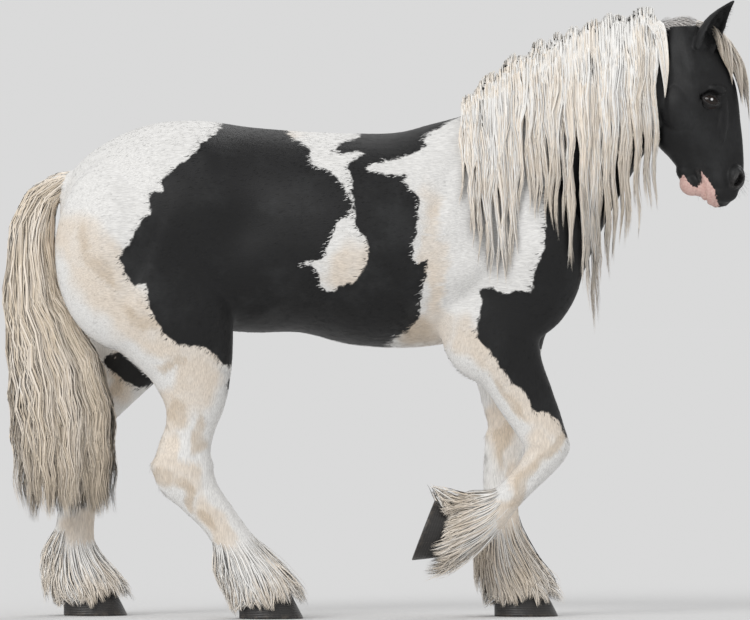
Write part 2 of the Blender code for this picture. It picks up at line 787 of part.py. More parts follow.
def build_head(helpers):
    forms = [
        loft("skull", head_rings(), helpers),
        loft("neck_top", neck_rings(16), helpers),
    ]
    for centre, size in CHIN_FORMS:
        forms.append(ball("chin", centre, size, helpers))
    for side in (-1, 1):
        for centre, size in HEAD_FORMS:
            forms.append(ball("form", mirrored(centre, side), size, helpers))
    head = fuse("head", forms, HEAD_VOXEL, HEAD_SOFTEN, helpers)
    return thin_out(head, HEAD_TRIANGLES)


def shape_face(head, helpers):
    """Cuts mouth and nostrils, then adds the lids and opens the eye sockets."""
    lid = EYE_RADIUS + LID_THICKNESS
    lids, cutters = [], []
    for side in (-1, 1):
        centre = mirrored(EYE_CENTRE, side)
        lids.append(ball("lids", centre, (lid, lid * 0.86, lid * 0.92), helpers, 14))
        socket = EYE_RADIUS + GAP
        cutters.append(ball("socket", centre, (socket,) * 3, helpers, 14))
        cutters.append(eye_opening(side, helpers))
        cutters.append(mouth_slit(side, helpers))
        pitch = Matrix.Rotation(math.radians(NOSTRIL_TURN[0]), 4, "Y")
        turn = pitch @ Matrix.Rotation(math.radians(NOSTRIL_TURN[1] * side), 4, "Z")
        nostril = mirrored(NOSTRIL_CENTRE, side)
        cutters.append(ball("nostril", nostril, NOSTRIL_SIZE, helpers, 12, turn))
    union_all(head, lids)
    for cutter in cutters:
        boolean(head, cutter, "DIFFERENCE")
        bpy.data.objects.remove(cutter)
    return largest_shell(head)


def ear(name, side, collection):
    """A cupped leaf: crescent rings from a round base to a curled tip."""
    base, tip = Vector(mirrored(EAR_BASE, side)), Vector(mirrored(EAR_TIP, side))
    axis = (tip - base).normalized()
    facing = Vector(mirrored(EAR_FACING, side))
    facing = (facing - axis * facing.dot(axis)).normalized()
    across = axis.cross(facing)
    length = (tip - base).length
    rings = []
    for level, width, bend in EAR_RINGS:
        half = EAR_WIDTH * width
        wrap = 2.1 - 0.9 * max(level, 0)
        depth = half * (0.95 if level > 0 else 0.9)
        middle = base + axis * length * level + facing * bend
        hollow = min(max((level - 0.02) / 0.2, 0), 1)
        ring = []
        for angle in np.linspace(-wrap, wrap, 6):
            ring.append(
                middle + across * half * math.sin(angle) - facing * depth * math.cos(angle)
            )
        wall = min(EAR_WALL, half * 0.45)
        for angle in np.linspace(wrap * 0.93, -wrap * 0.93, 5):
            inner_half = (half - wall) * hollow + half * 0.55 * (1 - hollow)
            inner_depth = (depth - wall) * hollow - depth * 0.25 * (1 - hollow)
            ring.append(
                middle
                + across * inner_half * math.sin(angle)
                - facing * inner_depth * math.cos(angle)
            )
        rings.append(np.array([tuple(p) for p in ring]))
    return loft(name, rings, collection)


def material(name, colour, roughness):
    surface = bpy.data.materials.new(name)
    surface.use_nodes = True
    shader = surface.node_tree.nodes["Principled BSDF"]
    shader.inputs["Base Color"].default_value = colour
    shader.inputs["Roughness"].default_value = roughness
    return surface


def tree_of(objects):
    vertices, faces = [], []
    for obj in objects:
        start = len(vertices)
        vertices += [v.co.copy() for v in obj.data.vertices]
        faces += [[start + i for i in p.vertices] for p in obj.data.polygons]
    return BVHTree.FromPolygons(vertices, faces)


def pushed_out(point, tree, clearance):
    near, normal, _, _ = tree.find_nearest(point)
    height = (point - near).dot(normal)
    if height < clearance:
        return point + normal * (clearance - height)
    return point


def drape(root, heading, length, steps, own, others, sink, clearance, fall):
    """A path that leaves root along heading, sinks under its weight and lies on the body."""
    point, heading = Vector(root), Vector(heading).normalized()
    step = length / steps
    path = [point.copy()]
    for _ in range(steps):
        heading = (heading + Vector((0, 0, -fall))).normalized()
        point = point + heading * step
        point = pushed_out(point, own, sink)
        point = pushed_out(point, others, clearance)
        heading = (point - path[-1]).normalized()
        path.append(point.copy())
    return path


def crest_point(share, depth=0.0):
    """A point on the crest line, moved down toward the underside by depth."""
    rows = smooth_rows(NECK, 60)
    position = share * (len(rows) - 1)
    index = min(int(position), len(rows) - 2)
    row = rows[index] + (rows[index + 1] - rows[index]) * (position - index)
    top, low = Vector((row[0], 0, row[1])), Vector((row[2], 0, row[3]))
    return top + (low - top).normalized() * depth


def lock(name, path, spans, width, thick, collection, sides=4):
    """A flat tapered lock along a path, from a sunk root to a point, wide along spans."""
    count = len(path) - 1
    vertices, faces = [], []
    for i in range(count):
        share = i / count
        along = (path[i + 1] - path[max(i - 1, 0)]).normalized()
        out = spans[i].cross(along).normalized()
        across = along.cross(out)
        swell = min(1.0, 0.55 + 2.5 * share) * (1 - share**5) ** 0.6
        half, high = width * swell, thick * min(1.0, 0.6 + 3 * share, 1.25 - share)
        if sides == 4:
            ring = [across * half, out * high, -across * half, -out * high * 0.7]
        else:
            ring = [across * half - out * high * 0.5, out * high, -across * half - out * high * 0.5]
        vertices += [path[i] + offset for offset in ring]
    for i in range(count - 1):
        for j in range(sides):
            k = (j + 1) % sides
            a, b = i * sides, (i + 1) * sides
            faces.append((a + j, a + k, b + k))
            faces.append((a + j, b + k, b + j))
    vertices.append(path[-1])
    last = (count - 1) * sides
    for j in range(sides):
        faces.append((last + j, last + (j + 1) % sides, count * sides))
    faces.append((2, 1, 0))
    if sides == 4:
        faces.append((3, 2, 0))
    obj = new_object(name, vertices, faces, collection)
    if signed_volume(obj) < 0:
        obj.data.flip_normals()
    return obj


def clear_of(locks, others, helpers):
    """Cuts each lock clear of the neighbours that it would cross."""
    trees = [(other, tree_of([grown_copy(other, GAP, helpers)])) for other in others]
    for piece in locks:
        tree = tree_of([piece])
        crossed = [other for other, near in trees if near.overlap(tree)]
        if crossed:
            cut_clear(piece, crossed, helpers, LOCK_GAP)
    for other, _ in trees:
        bpy.data.objects.remove(bpy.data.objects[other.name + "_grown"])
    kept = [piece for piece in locks if triangle_count(piece) > 8]
    for piece in locks:
        if piece not in kept:
            bpy.data.objects.remove(piece)
    return kept


def mane_lock(share, tip_height, side, layer, own, near, dice, helpers):
    """A lock that rises from the crest, turns over beside it and hangs down the neck."""
    width, thick = MANE_LOCK
    width *= dice.uniform(0.92, 1.08) * (1 + 0.15 * layer)
    raised = MANE_LEVEL * layer
    lift = MANE_LIFT * dice.uniform(0.7, 1.0) + raised
    root = crest_point(share, MANE_ROOT_DEPTH) + Vector((0, 0.004 * side, 0))
    top = crest_point(share, -lift) + Vector((0, 0.022 * side, 0))
    turn = crest_point(share, 0.3 * lift) + Vector((0, (MANE_TURN + raised) * side, 0))
    length = max(turn.z - tip_height, MANE_SHORTEST)
    clear = thick + 0.004 + raised
    over_skin = thick + LAY + raised
    turn = pushed_out(turn, own, over_skin)
    path = [root, top] + drape(turn, (0, 0, -1), length, 4, own, near, over_skin, clear, MANE_FALL)
    sway = dice.uniform(-MANE_SWAY, MANE_SWAY)
    for i in range(3, len(path)):
        path[i] += Vector((sway * math.sin(1.5 * i), 0, 0))
    span = (crest_point(share + 0.01) - crest_point(share - 0.01)).normalized()
    turning = [span, span] + [(span + Vector((1.2, 0, 0))).normalized()] * (len(path) - 2)
    return lock("lock", path, turning, width, thick, helpers, 3)


def mane_locks(neck, others, helpers):
    """A lower row of locks side by side, and an upper row that covers their gaps."""
    own, near = tree_of([neck]), tree_of(others)
    dice = random.Random(11)
    locks = []
    for layer, side, count in ((0, -1, MANE_UNDER), (1, -1, MANE_OVER), (0, 1, MANE_FAR)):
        for i in range(count):
            along = (i + 0.5) / count
            share = MANE_ROOT_SPAN[0] + along * (MANE_ROOT_SPAN[1] - MANE_ROOT_SPAN[0])
            tip = np.interp(along, *zip(*MANE_TIPS)) + dice.uniform(0.0, 0.09)
            if layer == 1:
                tip += dice.uniform(-0.04, 0.12)
            if side > 0:
                tip = crest_point(share).z - dice.uniform(*MANE_FAR_LENGTHS)
            locks.append(mane_lock(share, tip, side, layer, own, near, dice, helpers))
    return clear_of(locks, others, helpers)


def forelock_locks(head, ears, helpers):
    """Locks that fall from the poll over the face, and short ones to both sides behind them."""
    own, near = tree_of([head]), tree_of(ears)
    dice = random.Random(5)
    width, thick = FORELOCK_LOCK
    locks = []
    for i in range(FORELOCK_COUNT):
        spread = 2 * (i + 0.5) / FORELOCK_COUNT - 1
        root = Vector((FORELOCK_ROOT[0], 0.012 * spread, FORELOCK_ROOT[1]))
        top = Vector((FORELOCK_TOP[0], 0.014 * spread, FORELOCK_TOP[1] + 0.006 * (i % 2)))
        length = dice.uniform(*FORELOCK_LENGTHS)
        heading = (0.85, 0.05 * spread, -0.20)
        path = drape(top, heading, length, 5, own, near, thick + LAY, thick + 0.002, FORELOCK_FALL)
        path = [root] + path
        for k in range(3, len(path)):
            path[k].y += FORELOCK_SPREAD * spread * ((k - 2) / (len(path) - 3)) ** 1.3
        spans = [Vector((0.25 * spread, 1, 0))] * len(path)
        locks.append(lock("lock", path, spans, width, thick, helpers, 3))
    for x, side in POLL_LOCKS:
        root = Vector((x, 0.004 * side, FORELOCK_ROOT[1]))
        top = Vector((x, 0.010 * side, POLL_TOP))
        length = dice.uniform(*POLL_LENGTHS)
        path = drape(top, (0.1, side, 0), length, 4, own, near, thick + LAY, thick + 0.002, POLL_FALL)
        spans = [Vector((1, 0, 0))] * (len(path) + 1)
        locks.append(lock("lock", [root] + path, spans, width * 0.7, thick, helpers, 3))
    return clear_of(locks, ears, helpers)


def tail_locks(helpers):
    """Rings of locks fan out of the dock and run side by side down the tail's outline."""
    rows = smooth_rows(TAIL, 120)
    path_dir = np.gradient(rows[:, :2], axis=0)
    path_dir /= np.linalg.norm(path_dir, axis=1)[:, None]
    dice = random.Random(3)
    width, thick = TAIL_LOCK
    locks = []
    for count, reach_share in TAIL_RINGS:
        for i in range(count):
            angle = 2 * math.pi * (i + 0.5) / count
            start = 0.04 + (DOCK_SHARE - 0.10) * ((i * 0.618) % 1)
            end = dice.uniform(0.93, 1.0)
            wave = dice.uniform(0, 6.28)
            path, spans = [], []
            for k in range(TAIL_STEPS + 1):
                share = start + (end - start) * k / TAIL_STEPS
                index = min(int(share * 119), 119)
                x, z, depth, half, y = rows[index]
                dx, dz = path_dir[index]
                fore = Vector((dz, 0, -dx))
                shorter = 1 - TAIL_STAGGER * (i % 2)
                open_up = reach_share * min(1.0, 0.08 + 3.2 * (k / TAIL_STEPS)) * shorter
                u, v = math.cos(angle) * open_up, math.sin(angle) * open_up
                ripple = TAIL_RIPPLE * math.sin(wave + 11 * share)
                point = Vector((x, y, z)) + fore * ((depth - thick) * u + ripple)
                point.y += (half - thick) * v
                path.append(point)
                spans.append(fore * -math.sin(angle) * depth + Vector((0, math.cos(angle) * half, 0)))
            locks.append(lock("lock", path, spans, width * dice.uniform(0.9, 1.1), thick, helpers, 3))
    return locks


def squeeze_dock(dock):
    """The fleshy dock is thinner than the hair around it."""
    rows = smooth_rows(TAIL, 60)
    points = read_points(dock.data)
    for i, point in enumerate(points):
        nearest = rows[np.argmin((rows[:, 0] - point[0]) ** 2 + (rows[:, 1] - point[2]) ** 2)]
        centre = np.array([nearest[0], nearest[4], nearest[1]])
        offset = point - centre
        size = np.linalg.norm(offset)
        if size > DOCK_RADIUS:
            points[i] = centre + offset * DOCK_RADIUS / size
    write_points(dock.data, points)


def feather_locks(leg, stations, lower, hoof_solid, helpers):
    """Rings of locks around the cannon that fall over the pastern and the hoof."""
    own, near = tree_of([lower]), tree_of([hoof_solid])
    rows = np.asarray(stations, float)
    dice = random.Random(len(leg) * 7 + len(stations))
    width, thick = FEATHER_LOCK
    fall = RAISED_FEATHER_FALL if leg == "right_front" else FEATHER_FALL
    locks = []
    for place, count, length, flare, spread in FEATHER_RINGS[leg]:
        index = int(place)
        row = rows[index] + (rows[index + 1] - rows[index]) * (place - index)
        down = rows[index + 1] - rows[index]
        along = Vector((down[0], 0, down[1])).normalized()
        fore = Vector((along.z, 0, -along.x)) * -1
        if fore.x * (1 if leg != "right_front" else -1) < 0:
            fore = -fore
        for i in range(count):
            angle = math.pi + spread * (2 * (i + 0.5) / count - 1) + dice.uniform(-0.1, 0.1)
            out = fore * math.cos(angle) + Vector((0, math.sin(angle), 0))
            centre = Vector((row[0], row[4], row[1]))
            skin = centre + fore * math.cos(angle) * row[2] + Vector((0, math.sin(angle) * row[3], 0))
            root = centre + (skin - centre) * FEATHER_ROOT_SHARE
            long = length * dice.uniform(0.88, 1.08)
            if math.cos(angle) >= 0.3:
                long *= FEATHER_FRONT_SHARE
            start = skin + along * 0.010 + out * 0.002
            heading = along + out * flare
            path = drape(start, heading, long, 3, own, near, thick + LAY, thick + 0.003, fall)
            path = [root] + path
            for point in path:
                point.z = max(point.z, FLOOR_CLEARANCE)
            spans = [out.cross(along)] * len(path)
            locks.append(lock("lock", path, spans, width * dice.uniform(0.85, 1.15), thick, helpers, 3))
    return clear_of(locks, [hoof_solid], helpers)


def finish(obj, colour, roughness=0.6):
    obj.data.materials.clear()
    obj.data.materials.append(material(obj.name, COLOURS[colour], roughness))
    obj.data.transform(Matrix.Translation(FRAME_SHIFT))
    for polygon in obj.data.polygons:
        polygon.use_smooth = "hoof" not in obj.name
    return obj


def main():
    clear_scene()
    model = new_collection("horse")
    helpers = new_collection("cutters")
    body = build_body(helpers)
    torso_parts, lowers, hooves = [], {}, {}
    for leg, (point, into, fore_aft) in LEG_CUTS.items():
        size = (fore_aft, LEG_BOX)
        upper = part_off(body, UPPER_NAMES[leg], point, into, size, model, helpers)
        point, into = LOWER_CUTS[leg]
        size = (LEG_BOX, LEG_BOX)
        lower = part_off(upper, leg + "_cannon", point, into, size, model, helpers)
        largest_shell(upper)
        cut_away(lower, *coronet_plane(*HOOVES[leg]), size, helpers)
        torso_parts.append(upper)
        lowers[leg] = lower
        hooves[leg] = hoof(leg + "_hoof", *HOOVES[leg], model)
    cut_away(body, *HEAD_CUT, (1.0, 0.6), helpers)
    neck = part_off(body, "neck", *NECK_CUT, (1.2, 0.9), model, helpers)
    torso = largest_shell(body)
    torso.name = "torso"
    move_to(torso, model)
    head = build_head(helpers)
    point, into = HEAD_CUT
    keep = Vector(point) + Vector(into) * GAP
    cut_away(head, keep, -Vector(into), (1.0, 0.6), helpers)
    move_to(head, model)
    shape_face(head, helpers)
    ears = []
    for side, word in ((-1, "right"), (1, "left")):
        leaf = ear(word + "_ear", side, model)
        ears.append(cut_clear(leaf, [head], helpers))
        eye_solid = ball(word + "_eye", mirrored(EYE_CENTRE, side), (EYE_RADIUS,) * 3, model, 14)
        finish(eye_solid, "eye", 0.1)
    union_all(head, forelock_locks(head, ears, helpers))
    dock_end = int(DOCK_SHARE * 40)
    tail = loft("tail", [ring[::2] for ring in limb_rings(TAIL, count=40)[:dock_end:2]], model)
    squeeze_dock(tail)
    cut_clear(tail, [torso], helpers)
    union_all(tail, clear_of(tail_locks(helpers), [torso], helpers))
    union_all(neck, mane_locks(neck, [torso, head] + ears + torso_parts, helpers))
    for leg, lower in lowers.items():
        union_all(lower, feather_locks(leg, LEGS[leg], lower, hooves[leg], helpers))
        finish(lower, "cream")
        finish(hooves[leg], "horn", 0.4)
    for upper in torso_parts:
        finish(upper, "white")
    finish(torso, "white")
    finish(neck, "white")
    finish(head, "black")
    finish(tail, "cream")
    for leaf in ears:
        finish(leaf, "black")
    bpy.data.collections.remove(helpers)


main()
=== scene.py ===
import math

import bmesh
import bpy
import numpy as np
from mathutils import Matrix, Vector
from mathutils.bvhtree import BVHTree


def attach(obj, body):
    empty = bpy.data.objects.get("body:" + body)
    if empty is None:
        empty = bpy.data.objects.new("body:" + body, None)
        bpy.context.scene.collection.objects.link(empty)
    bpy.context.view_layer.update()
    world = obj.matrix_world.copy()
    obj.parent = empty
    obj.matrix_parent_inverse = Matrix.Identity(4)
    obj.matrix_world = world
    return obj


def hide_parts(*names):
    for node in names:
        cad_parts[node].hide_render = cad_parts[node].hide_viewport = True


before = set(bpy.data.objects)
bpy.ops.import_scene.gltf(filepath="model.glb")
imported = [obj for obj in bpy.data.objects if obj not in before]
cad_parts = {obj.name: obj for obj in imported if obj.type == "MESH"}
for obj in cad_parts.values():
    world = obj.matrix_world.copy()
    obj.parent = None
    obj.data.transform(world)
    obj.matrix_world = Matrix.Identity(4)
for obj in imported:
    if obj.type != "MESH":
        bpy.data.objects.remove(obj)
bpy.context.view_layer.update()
fleshNodes = [
    "torso", "neck", "head", "tail", "right_ear", "left_ear", "right_thigh", "left_thigh",
    "right_forearm", "left_forearm", "right_hind_cannon", "left_hind_cannon",
    "right_front_cannon", "left_front_cannon",
]

# Flesh tables, metres. Trunk: x, top, bottom, half width, flatness of the back
trunk = [
    (-0.935, 1.245, 0.990, 0.075, 0.95), (-0.880, 1.338, 0.910, 0.160, 0.90),
    (-0.778, 1.411, 0.900, 0.225, 0.85), (-0.667, 1.453, 0.905, 0.262, 0.80),
    (-0.520, 1.464, 0.850, 0.278, 0.82), (-0.374, 1.445, 0.832, 0.285, 0.86),
    (-0.227, 1.433, 0.832, 0.302, 0.90), (-0.081, 1.427, 0.798, 0.315, 0.95),
    (0.066, 1.430, 0.788, 0.305, 1.05), (0.183, 1.459, 0.797, 0.275, 1.20),
    (0.300, 1.480, 0.824, 0.245, 1.25), (0.418, 1.415, 0.868, 0.220, 1.05),
    (0.520, 1.283, 0.910, 0.190, 0.95), (0.590, 1.151, 0.985, 0.115, 0.90),
]
# Neck: crest x, z, underside x, z, half width
neck = [
    (0.183, 1.434, 0.491, 0.844, 0.170), (0.294, 1.510, 0.590, 0.967, 0.150),
    (0.423, 1.600, 0.640, 1.072, 0.130), (0.558, 1.664, 0.690, 1.184, 0.112),
    (0.687, 1.708, 0.742, 1.283, 0.100), (0.793, 1.725, 0.797, 1.371, 0.092),
    (0.890, 1.730, 0.856, 1.430, 0.082),
]
# Head: face line x, z, jaw line x, z, half widths at face, middle and jaw
skull = [
    (0.945, 1.740, 0.851, 1.734, 0.030, 0.050, 0.050), (0.985, 1.700, 0.822, 1.668, 0.050, 0.078, 0.070),
    (1.022, 1.635, 0.806, 1.591, 0.074, 0.098, 0.078), (1.050, 1.576, 0.803, 1.518, 0.077, 0.106, 0.082),
    (1.062, 1.518, 0.806, 1.443, 0.062, 0.104, 0.084), (1.068, 1.459, 0.822, 1.386, 0.048, 0.088, 0.076),
    (1.074, 1.406, 0.857, 1.349, 0.041, 0.072, 0.056), (1.077, 1.362, 0.882, 1.320, 0.039, 0.061, 0.043),
    (1.078, 1.321, 0.918, 1.298, 0.042, 0.060, 0.043), (1.073, 1.277, 0.940, 1.257, 0.046, 0.063, 0.044),
    (1.055, 1.236, 0.960, 1.225, 0.040, 0.052, 0.036), (1.028, 1.207, 0.992, 1.201, 0.018, 0.026, 0.018),
]
# Rounded forms: centre, size
headForms = [
    ((0.985, 0.066, 1.548), (0.040, 0.032, 0.020)), ((0.900, 0.070, 1.500), (0.075, 0.030, 0.080)),
    ((1.051, 0.036, 1.292), (0.030, 0.030, 0.040)), ((1.016, 0.030, 1.250), (0.045, 0.030, 0.036)),
    ((1.012, 0.052, 1.470), (0.020, 0.022, 0.080)),
]
chinForms = [
    ((0.926, 0.0, 1.273), (0.040, 0.035, 0.037)), ((0.948, 0.0, 1.261), (0.026, 0.033, 0.027)),
    ((0.911, 0.0, 1.314), (0.035, 0.031, 0.038)),
]
# Limbs: centre x, z, half depth, half width, y
limbs = {
    "rightHind": [
        (-0.640, 1.290, 0.150, 0.080, -0.120), (-0.690, 1.181, 0.230, 0.120, -0.150),
        (-0.667, 1.005, 0.266, 0.125, -0.155), (-0.585, 0.844, 0.182, 0.100, -0.165),
        (-0.544, 0.721, 0.126, 0.078, -0.165), (-0.535, 0.639, 0.098, 0.064, -0.163),
        (-0.549, 0.551, 0.076, 0.050, -0.160), (-0.566, 0.478, 0.085, 0.052, -0.158),
        (-0.563, 0.428, 0.096, 0.054, -0.158), (-0.529, 0.369, 0.073, 0.048, -0.158),
        (-0.472, 0.299, 0.060, 0.043, -0.158), (-0.426, 0.234, 0.060, 0.044, -0.158),
        (-0.388, 0.176, 0.065, 0.052, -0.158), (-0.352, 0.126, 0.060, 0.053, -0.158),
        (-0.322, 0.075, 0.067, 0.066, -0.158), (-0.300, 0.040, 0.067, 0.066, -0.158),
    ],
    "leftHind": [
        (-0.640, 1.290, 0.150, 0.080, 0.120), (-0.690, 1.181, 0.230, 0.120, 0.150),
        (-0.700, 1.005, 0.260, 0.125, 0.155), (-0.700, 0.858, 0.182, 0.100, 0.165),
        (-0.757, 0.750, 0.123, 0.078, 0.165), (-0.810, 0.668, 0.097, 0.064, 0.163),
        (-0.854, 0.595, 0.079, 0.050, 0.160), (-0.878, 0.530, 0.082, 0.051, 0.158),
        (-0.884, 0.475, 0.084, 0.052, 0.158), (-0.886, 0.398, 0.064, 0.046, 0.158),
        (-0.890, 0.302, 0.060, 0.043, 0.158), (-0.896, 0.235, 0.064, 0.045, 0.158),
        (-0.894, 0.182, 0.070, 0.053, 0.158), (-0.878, 0.129, 0.064, 0.054, 0.158),
        (-0.846, 0.075, 0.067, 0.066, 0.158), (-0.830, 0.040, 0.067, 0.066, 0.158),
    ],
    "rightFore": [
        (0.359, 0.976, 0.176, 0.085, -0.140), (0.350, 0.803, 0.152, 0.081, -0.150),
        (0.388, 0.732, 0.105, 0.068, -0.152), (0.435, 0.639, 0.087, 0.058, -0.150),
        (0.479, 0.551, 0.073, 0.052, -0.148), (0.499, 0.500, 0.063, 0.054, -0.147),
        (0.471, 0.453, 0.055, 0.049, -0.146), (0.424, 0.400, 0.048, 0.041, -0.145),
        (0.372, 0.346, 0.049, 0.041, -0.143), (0.324, 0.300, 0.060, 0.051, -0.142),
        (0.269, 0.262, 0.060, 0.053, -0.141), (0.219, 0.240, 0.066, 0.066, -0.140),
        (0.187, 0.230, 0.066, 0.066, -0.140),
    ],
    "leftFore": [
        (0.359, 0.976, 0.176, 0.085, 0.140), (0.365, 0.829, 0.141, 0.080, 0.145),
        (0.379, 0.727, 0.103, 0.066, 0.138), (0.388, 0.633, 0.084, 0.056, 0.125),
        (0.394, 0.551, 0.072, 0.052, 0.112), (0.381, 0.498, 0.069, 0.051, 0.105),
        (0.363, 0.404, 0.056, 0.042, 0.095), (0.365, 0.302, 0.056, 0.043, 0.086),
        (0.372, 0.211, 0.062, 0.051, 0.080), (0.392, 0.138, 0.054, 0.050, 0.076),
        (0.425, 0.075, 0.067, 0.066, 0.074), (0.445, 0.040, 0.067, 0.066, 0.074),
    ],
}
shoulder = [
    (0.270, 1.400, 0.120, 0.050, 0.075), (0.345, 1.250, 0.165, 0.070, 0.135),
    (0.425, 1.080, 0.185, 0.085, 0.155), (0.400, 0.950, 0.170, 0.085, 0.150),
    (0.360, 0.860, 0.120, 0.070, 0.150),
]
tailLine = [
    (-0.800, 1.275, 0.030, 0.032, 0.000), (-0.880, 1.285, 0.034, 0.036, 0.000),
    (-0.955, 1.262, 0.048, 0.046, -0.005), (-1.006, 1.185, 0.063, 0.056, -0.012),
    (-1.016, 1.050, 0.071, 0.064, -0.022), (-1.008, 0.920, 0.090, 0.070, -0.030),
    (-0.970, 0.800, 0.120, 0.074, -0.034), (-0.929, 0.620, 0.150, 0.074, -0.036),
    (-0.918, 0.450, 0.150, 0.070, -0.036), (-0.911, 0.278, 0.146, 0.050, -0.036),
]
hooves = {  # middle of the sole, the way up from it, the way the toe points
    "right_hind_hoof": ((-0.312, -0.158, 0.0), (0, 0, 1), (1, 0, 0)),
    "left_hind_hoof": ((-0.834, 0.158, 0.0), (0, 0, 1), (1, 0, 0)),
    "left_front_hoof": ((0.437, 0.074, 0.0), (0, 0, 1), (1, 0, 0)),
    "right_front_hoof": ((0.134, -0.140, 0.259), (0.933, 0, -0.36), (-0.36, 0, -0.933)),
}

# Small helpers


def smoothRows(rows, count):
    # Cubic through the stations: value and slope at each, read evenly along the path
    rows = np.asarray(rows, float)
    along = np.concatenate([[0], np.cumsum(np.linalg.norm(np.diff(rows[:, :2], axis=0), axis=1))])
    slopes = np.gradient(rows, along, axis=0)
    wanted = np.linspace(0, along[-1], count)
    index = np.clip(np.searchsorted(along, wanted, side="right") - 1, 0, len(rows) - 2)
    span = (along[index + 1] - along[index])[:, None]
    t = (wanted - along[index])[:, None] / span
    return (
        rows[index] * (2 * t**3 - 3 * t**2 + 1) + slopes[index] * span * (t**3 - 2 * t**2 + t)
        + rows[index + 1] * (3 * t**2 - 2 * t**3) + slopes[index + 1] * span * (t**3 - t**2)
    )


def swing(values, power):
    # Power of the size with the sign kept
    return np.sign(values) * np.abs(values) ** power


def blend(low, high, values):
    # Smooth step from 0 at low to 1 at high
    t = np.clip((values - low) / (high - low), 0, 1)
    return t * t * (3 - 2 * t)


def unit(vectors):
    # Each row over its own length
    return vectors / np.maximum(np.linalg.norm(vectors, axis=-1, keepdims=True), 1e-9)


def makePiece(name, points, faces, smooth=True):
    # One object from points and faces, linked at the origin
    mesh = bpy.data.meshes.new(name)
    mesh.from_pydata(np.asarray(points).tolist(), [], [list(f) for f in faces])
    mesh.polygons.foreach_set("use_smooth", np.full(len(mesh.polygons), smooth))
    mesh.update()
    piece = bpy.data.objects.new(name, mesh)
    bpy.context.scene.collection.objects.link(piece)
    return piece


def readPoints(mesh, layer="co"):
    # Point places or normals as rows of three
    values = np.empty(len(mesh.vertices) * 3)
    mesh.vertices.foreach_get(layer, values)
    return values.reshape(-1, 3)


def writePoints(mesh, points):
    mesh.vertices.foreach_set("co", np.ascontiguousarray(points).ravel())
    mesh.update()


def tubeFaces(count, around, start=0):
    # Quads between each ring and the next, with a fan-free cap at both ends
    i, j = np.meshgrid(np.arange(count - 1), np.arange(around), indexing="ij")
    a = start + i * around + j
    b = start + i * around + (j + 1) % around
    quads = np.stack([a, b, b + around, a + around], axis=-1).reshape(-1, 4).tolist()
    last = start + (count - 1) * around
    return quads + [list(range(start + around - 1, start - 1, -1)), list(range(last, last + around))]


def tube(rings):
    # Closed tube through rings of equal length, turned so that it faces outward
    rings = np.asarray(rings)
    points = rings.reshape(-1, 3)
    faces = tubeFaces(len(rings), rings.shape[1])
    middle = points.mean(axis=0)
    volume = sum(
        np.einsum("ij,ij->i", points[np.array(faces[:-2])[:, 0]] - middle, np.cross(
            points[np.array(faces[:-2])[:, k]] - middle, points[np.array(faces[:-2])[:, k + 1]] - middle
        )).sum() for k in (1, 2)
    )
    if volume < 0:
        faces = [face[::-1] for face in faces]
    return points, faces


def joined(forms):
    # Points stacked, faces counted on from the points before them
    points, faces, start = [], [], 0
    for formPoints, formFaces in forms:
        points.append(formPoints)
        faces += [[start + i for i in face] for face in formFaces]
        start += len(formPoints)
    return np.concatenate(points), faces


# Forms: each is rings of (centre + long axis x cos + wide axis x sin), squared off by a power
def trunkForm():
    # z = middle + (top or bottom - middle) x cos to a power, y = half width x sin to a power
    angle = np.linspace(0, 2 * np.pi, 56, endpoint=False)
    x, top, low, wide, flat = smoothRows(trunk, 70).T[:, :, None]
    up, middle = np.cos(angle), (top + low) / 2
    z = np.where(up > 0, middle + (top - middle) * swing(up, flat), middle + (middle - low) * swing(up, 0.88))
    y = wide * swing(np.sin(angle), 0.92)
    return tube(np.stack([x + 0 * y, y, z], axis=-1))


def limbForm(stations, side=1.0, count=90, around=36, power=0.94):
    # Ring square to the limb's line: depth x cos across the line, half width x sin sideways
    rows = smoothRows(stations, count)
    way = unit(np.gradient(rows[:, :2], axis=0))[:, :, None]
    angle = np.linspace(0, 2 * np.pi, around, endpoint=False)
    x, z, deep, wide, y = rows.T[:, :, None]
    fore = deep * swing(np.cos(angle), power)
    across = side * y + wide * swing(np.sin(angle), power)
    return tube(np.stack([x + fore * way[:, 1], across, z - fore * way[:, 0]], axis=-1))


def neckForm(first=0):
    # Ring between crest and underside, narrowed toward the crest
    angle = np.linspace(0, 2 * np.pi, 48, endpoint=False)
    topX, topZ, lowX, lowZ, wide = smoothRows(neck, 60)[first:].T[:, :, None]
    up = np.cos(angle)
    narrow = 1 - 0.34 * np.clip(up, 0, 1) ** 1.5
    x = (topX + lowX) / 2 + (topX - lowX) / 2 * swing(up, 0.9)
    z = (topZ + lowZ) / 2 + (topZ - lowZ) / 2 * swing(up, 0.9)
    return tube(np.stack([x, wide * narrow * swing(np.sin(angle), 0.9), z], axis=-1))


def skullForm():
    # Ring between face line and jaw, its half width read between jaw, middle and face
    angle = np.linspace(0, 2 * np.pi, 64, endpoint=False)
    u = swing(np.cos(angle), 0.80)
    faceX, faceZ, jawX, jawZ, wideFace, wideMid, wideJaw = smoothRows(skull, 100).T[:, :, None]
    marks = np.array([-1, -0.7, 0.1, 0.8, 1])
    stack = np.concatenate([wideJaw, wideJaw, wideMid, wideFace, wideFace], axis=1)
    index = np.clip(np.searchsorted(marks, u, side="right") - 1, 0, 3)
    share = (u - marks[index]) / (marks[index + 1] - marks[index])
    wide = stack[:, index] * (1 - share) + stack[:, index + 1] * share
    x = (faceX + jawX) / 2 + (faceX - jawX) / 2 * u
    z = (faceZ + jawZ) / 2 + (faceZ - jawZ) / 2 * u
    return tube(np.stack([x, wide * swing(np.sin(angle), 0.72), z], axis=-1))


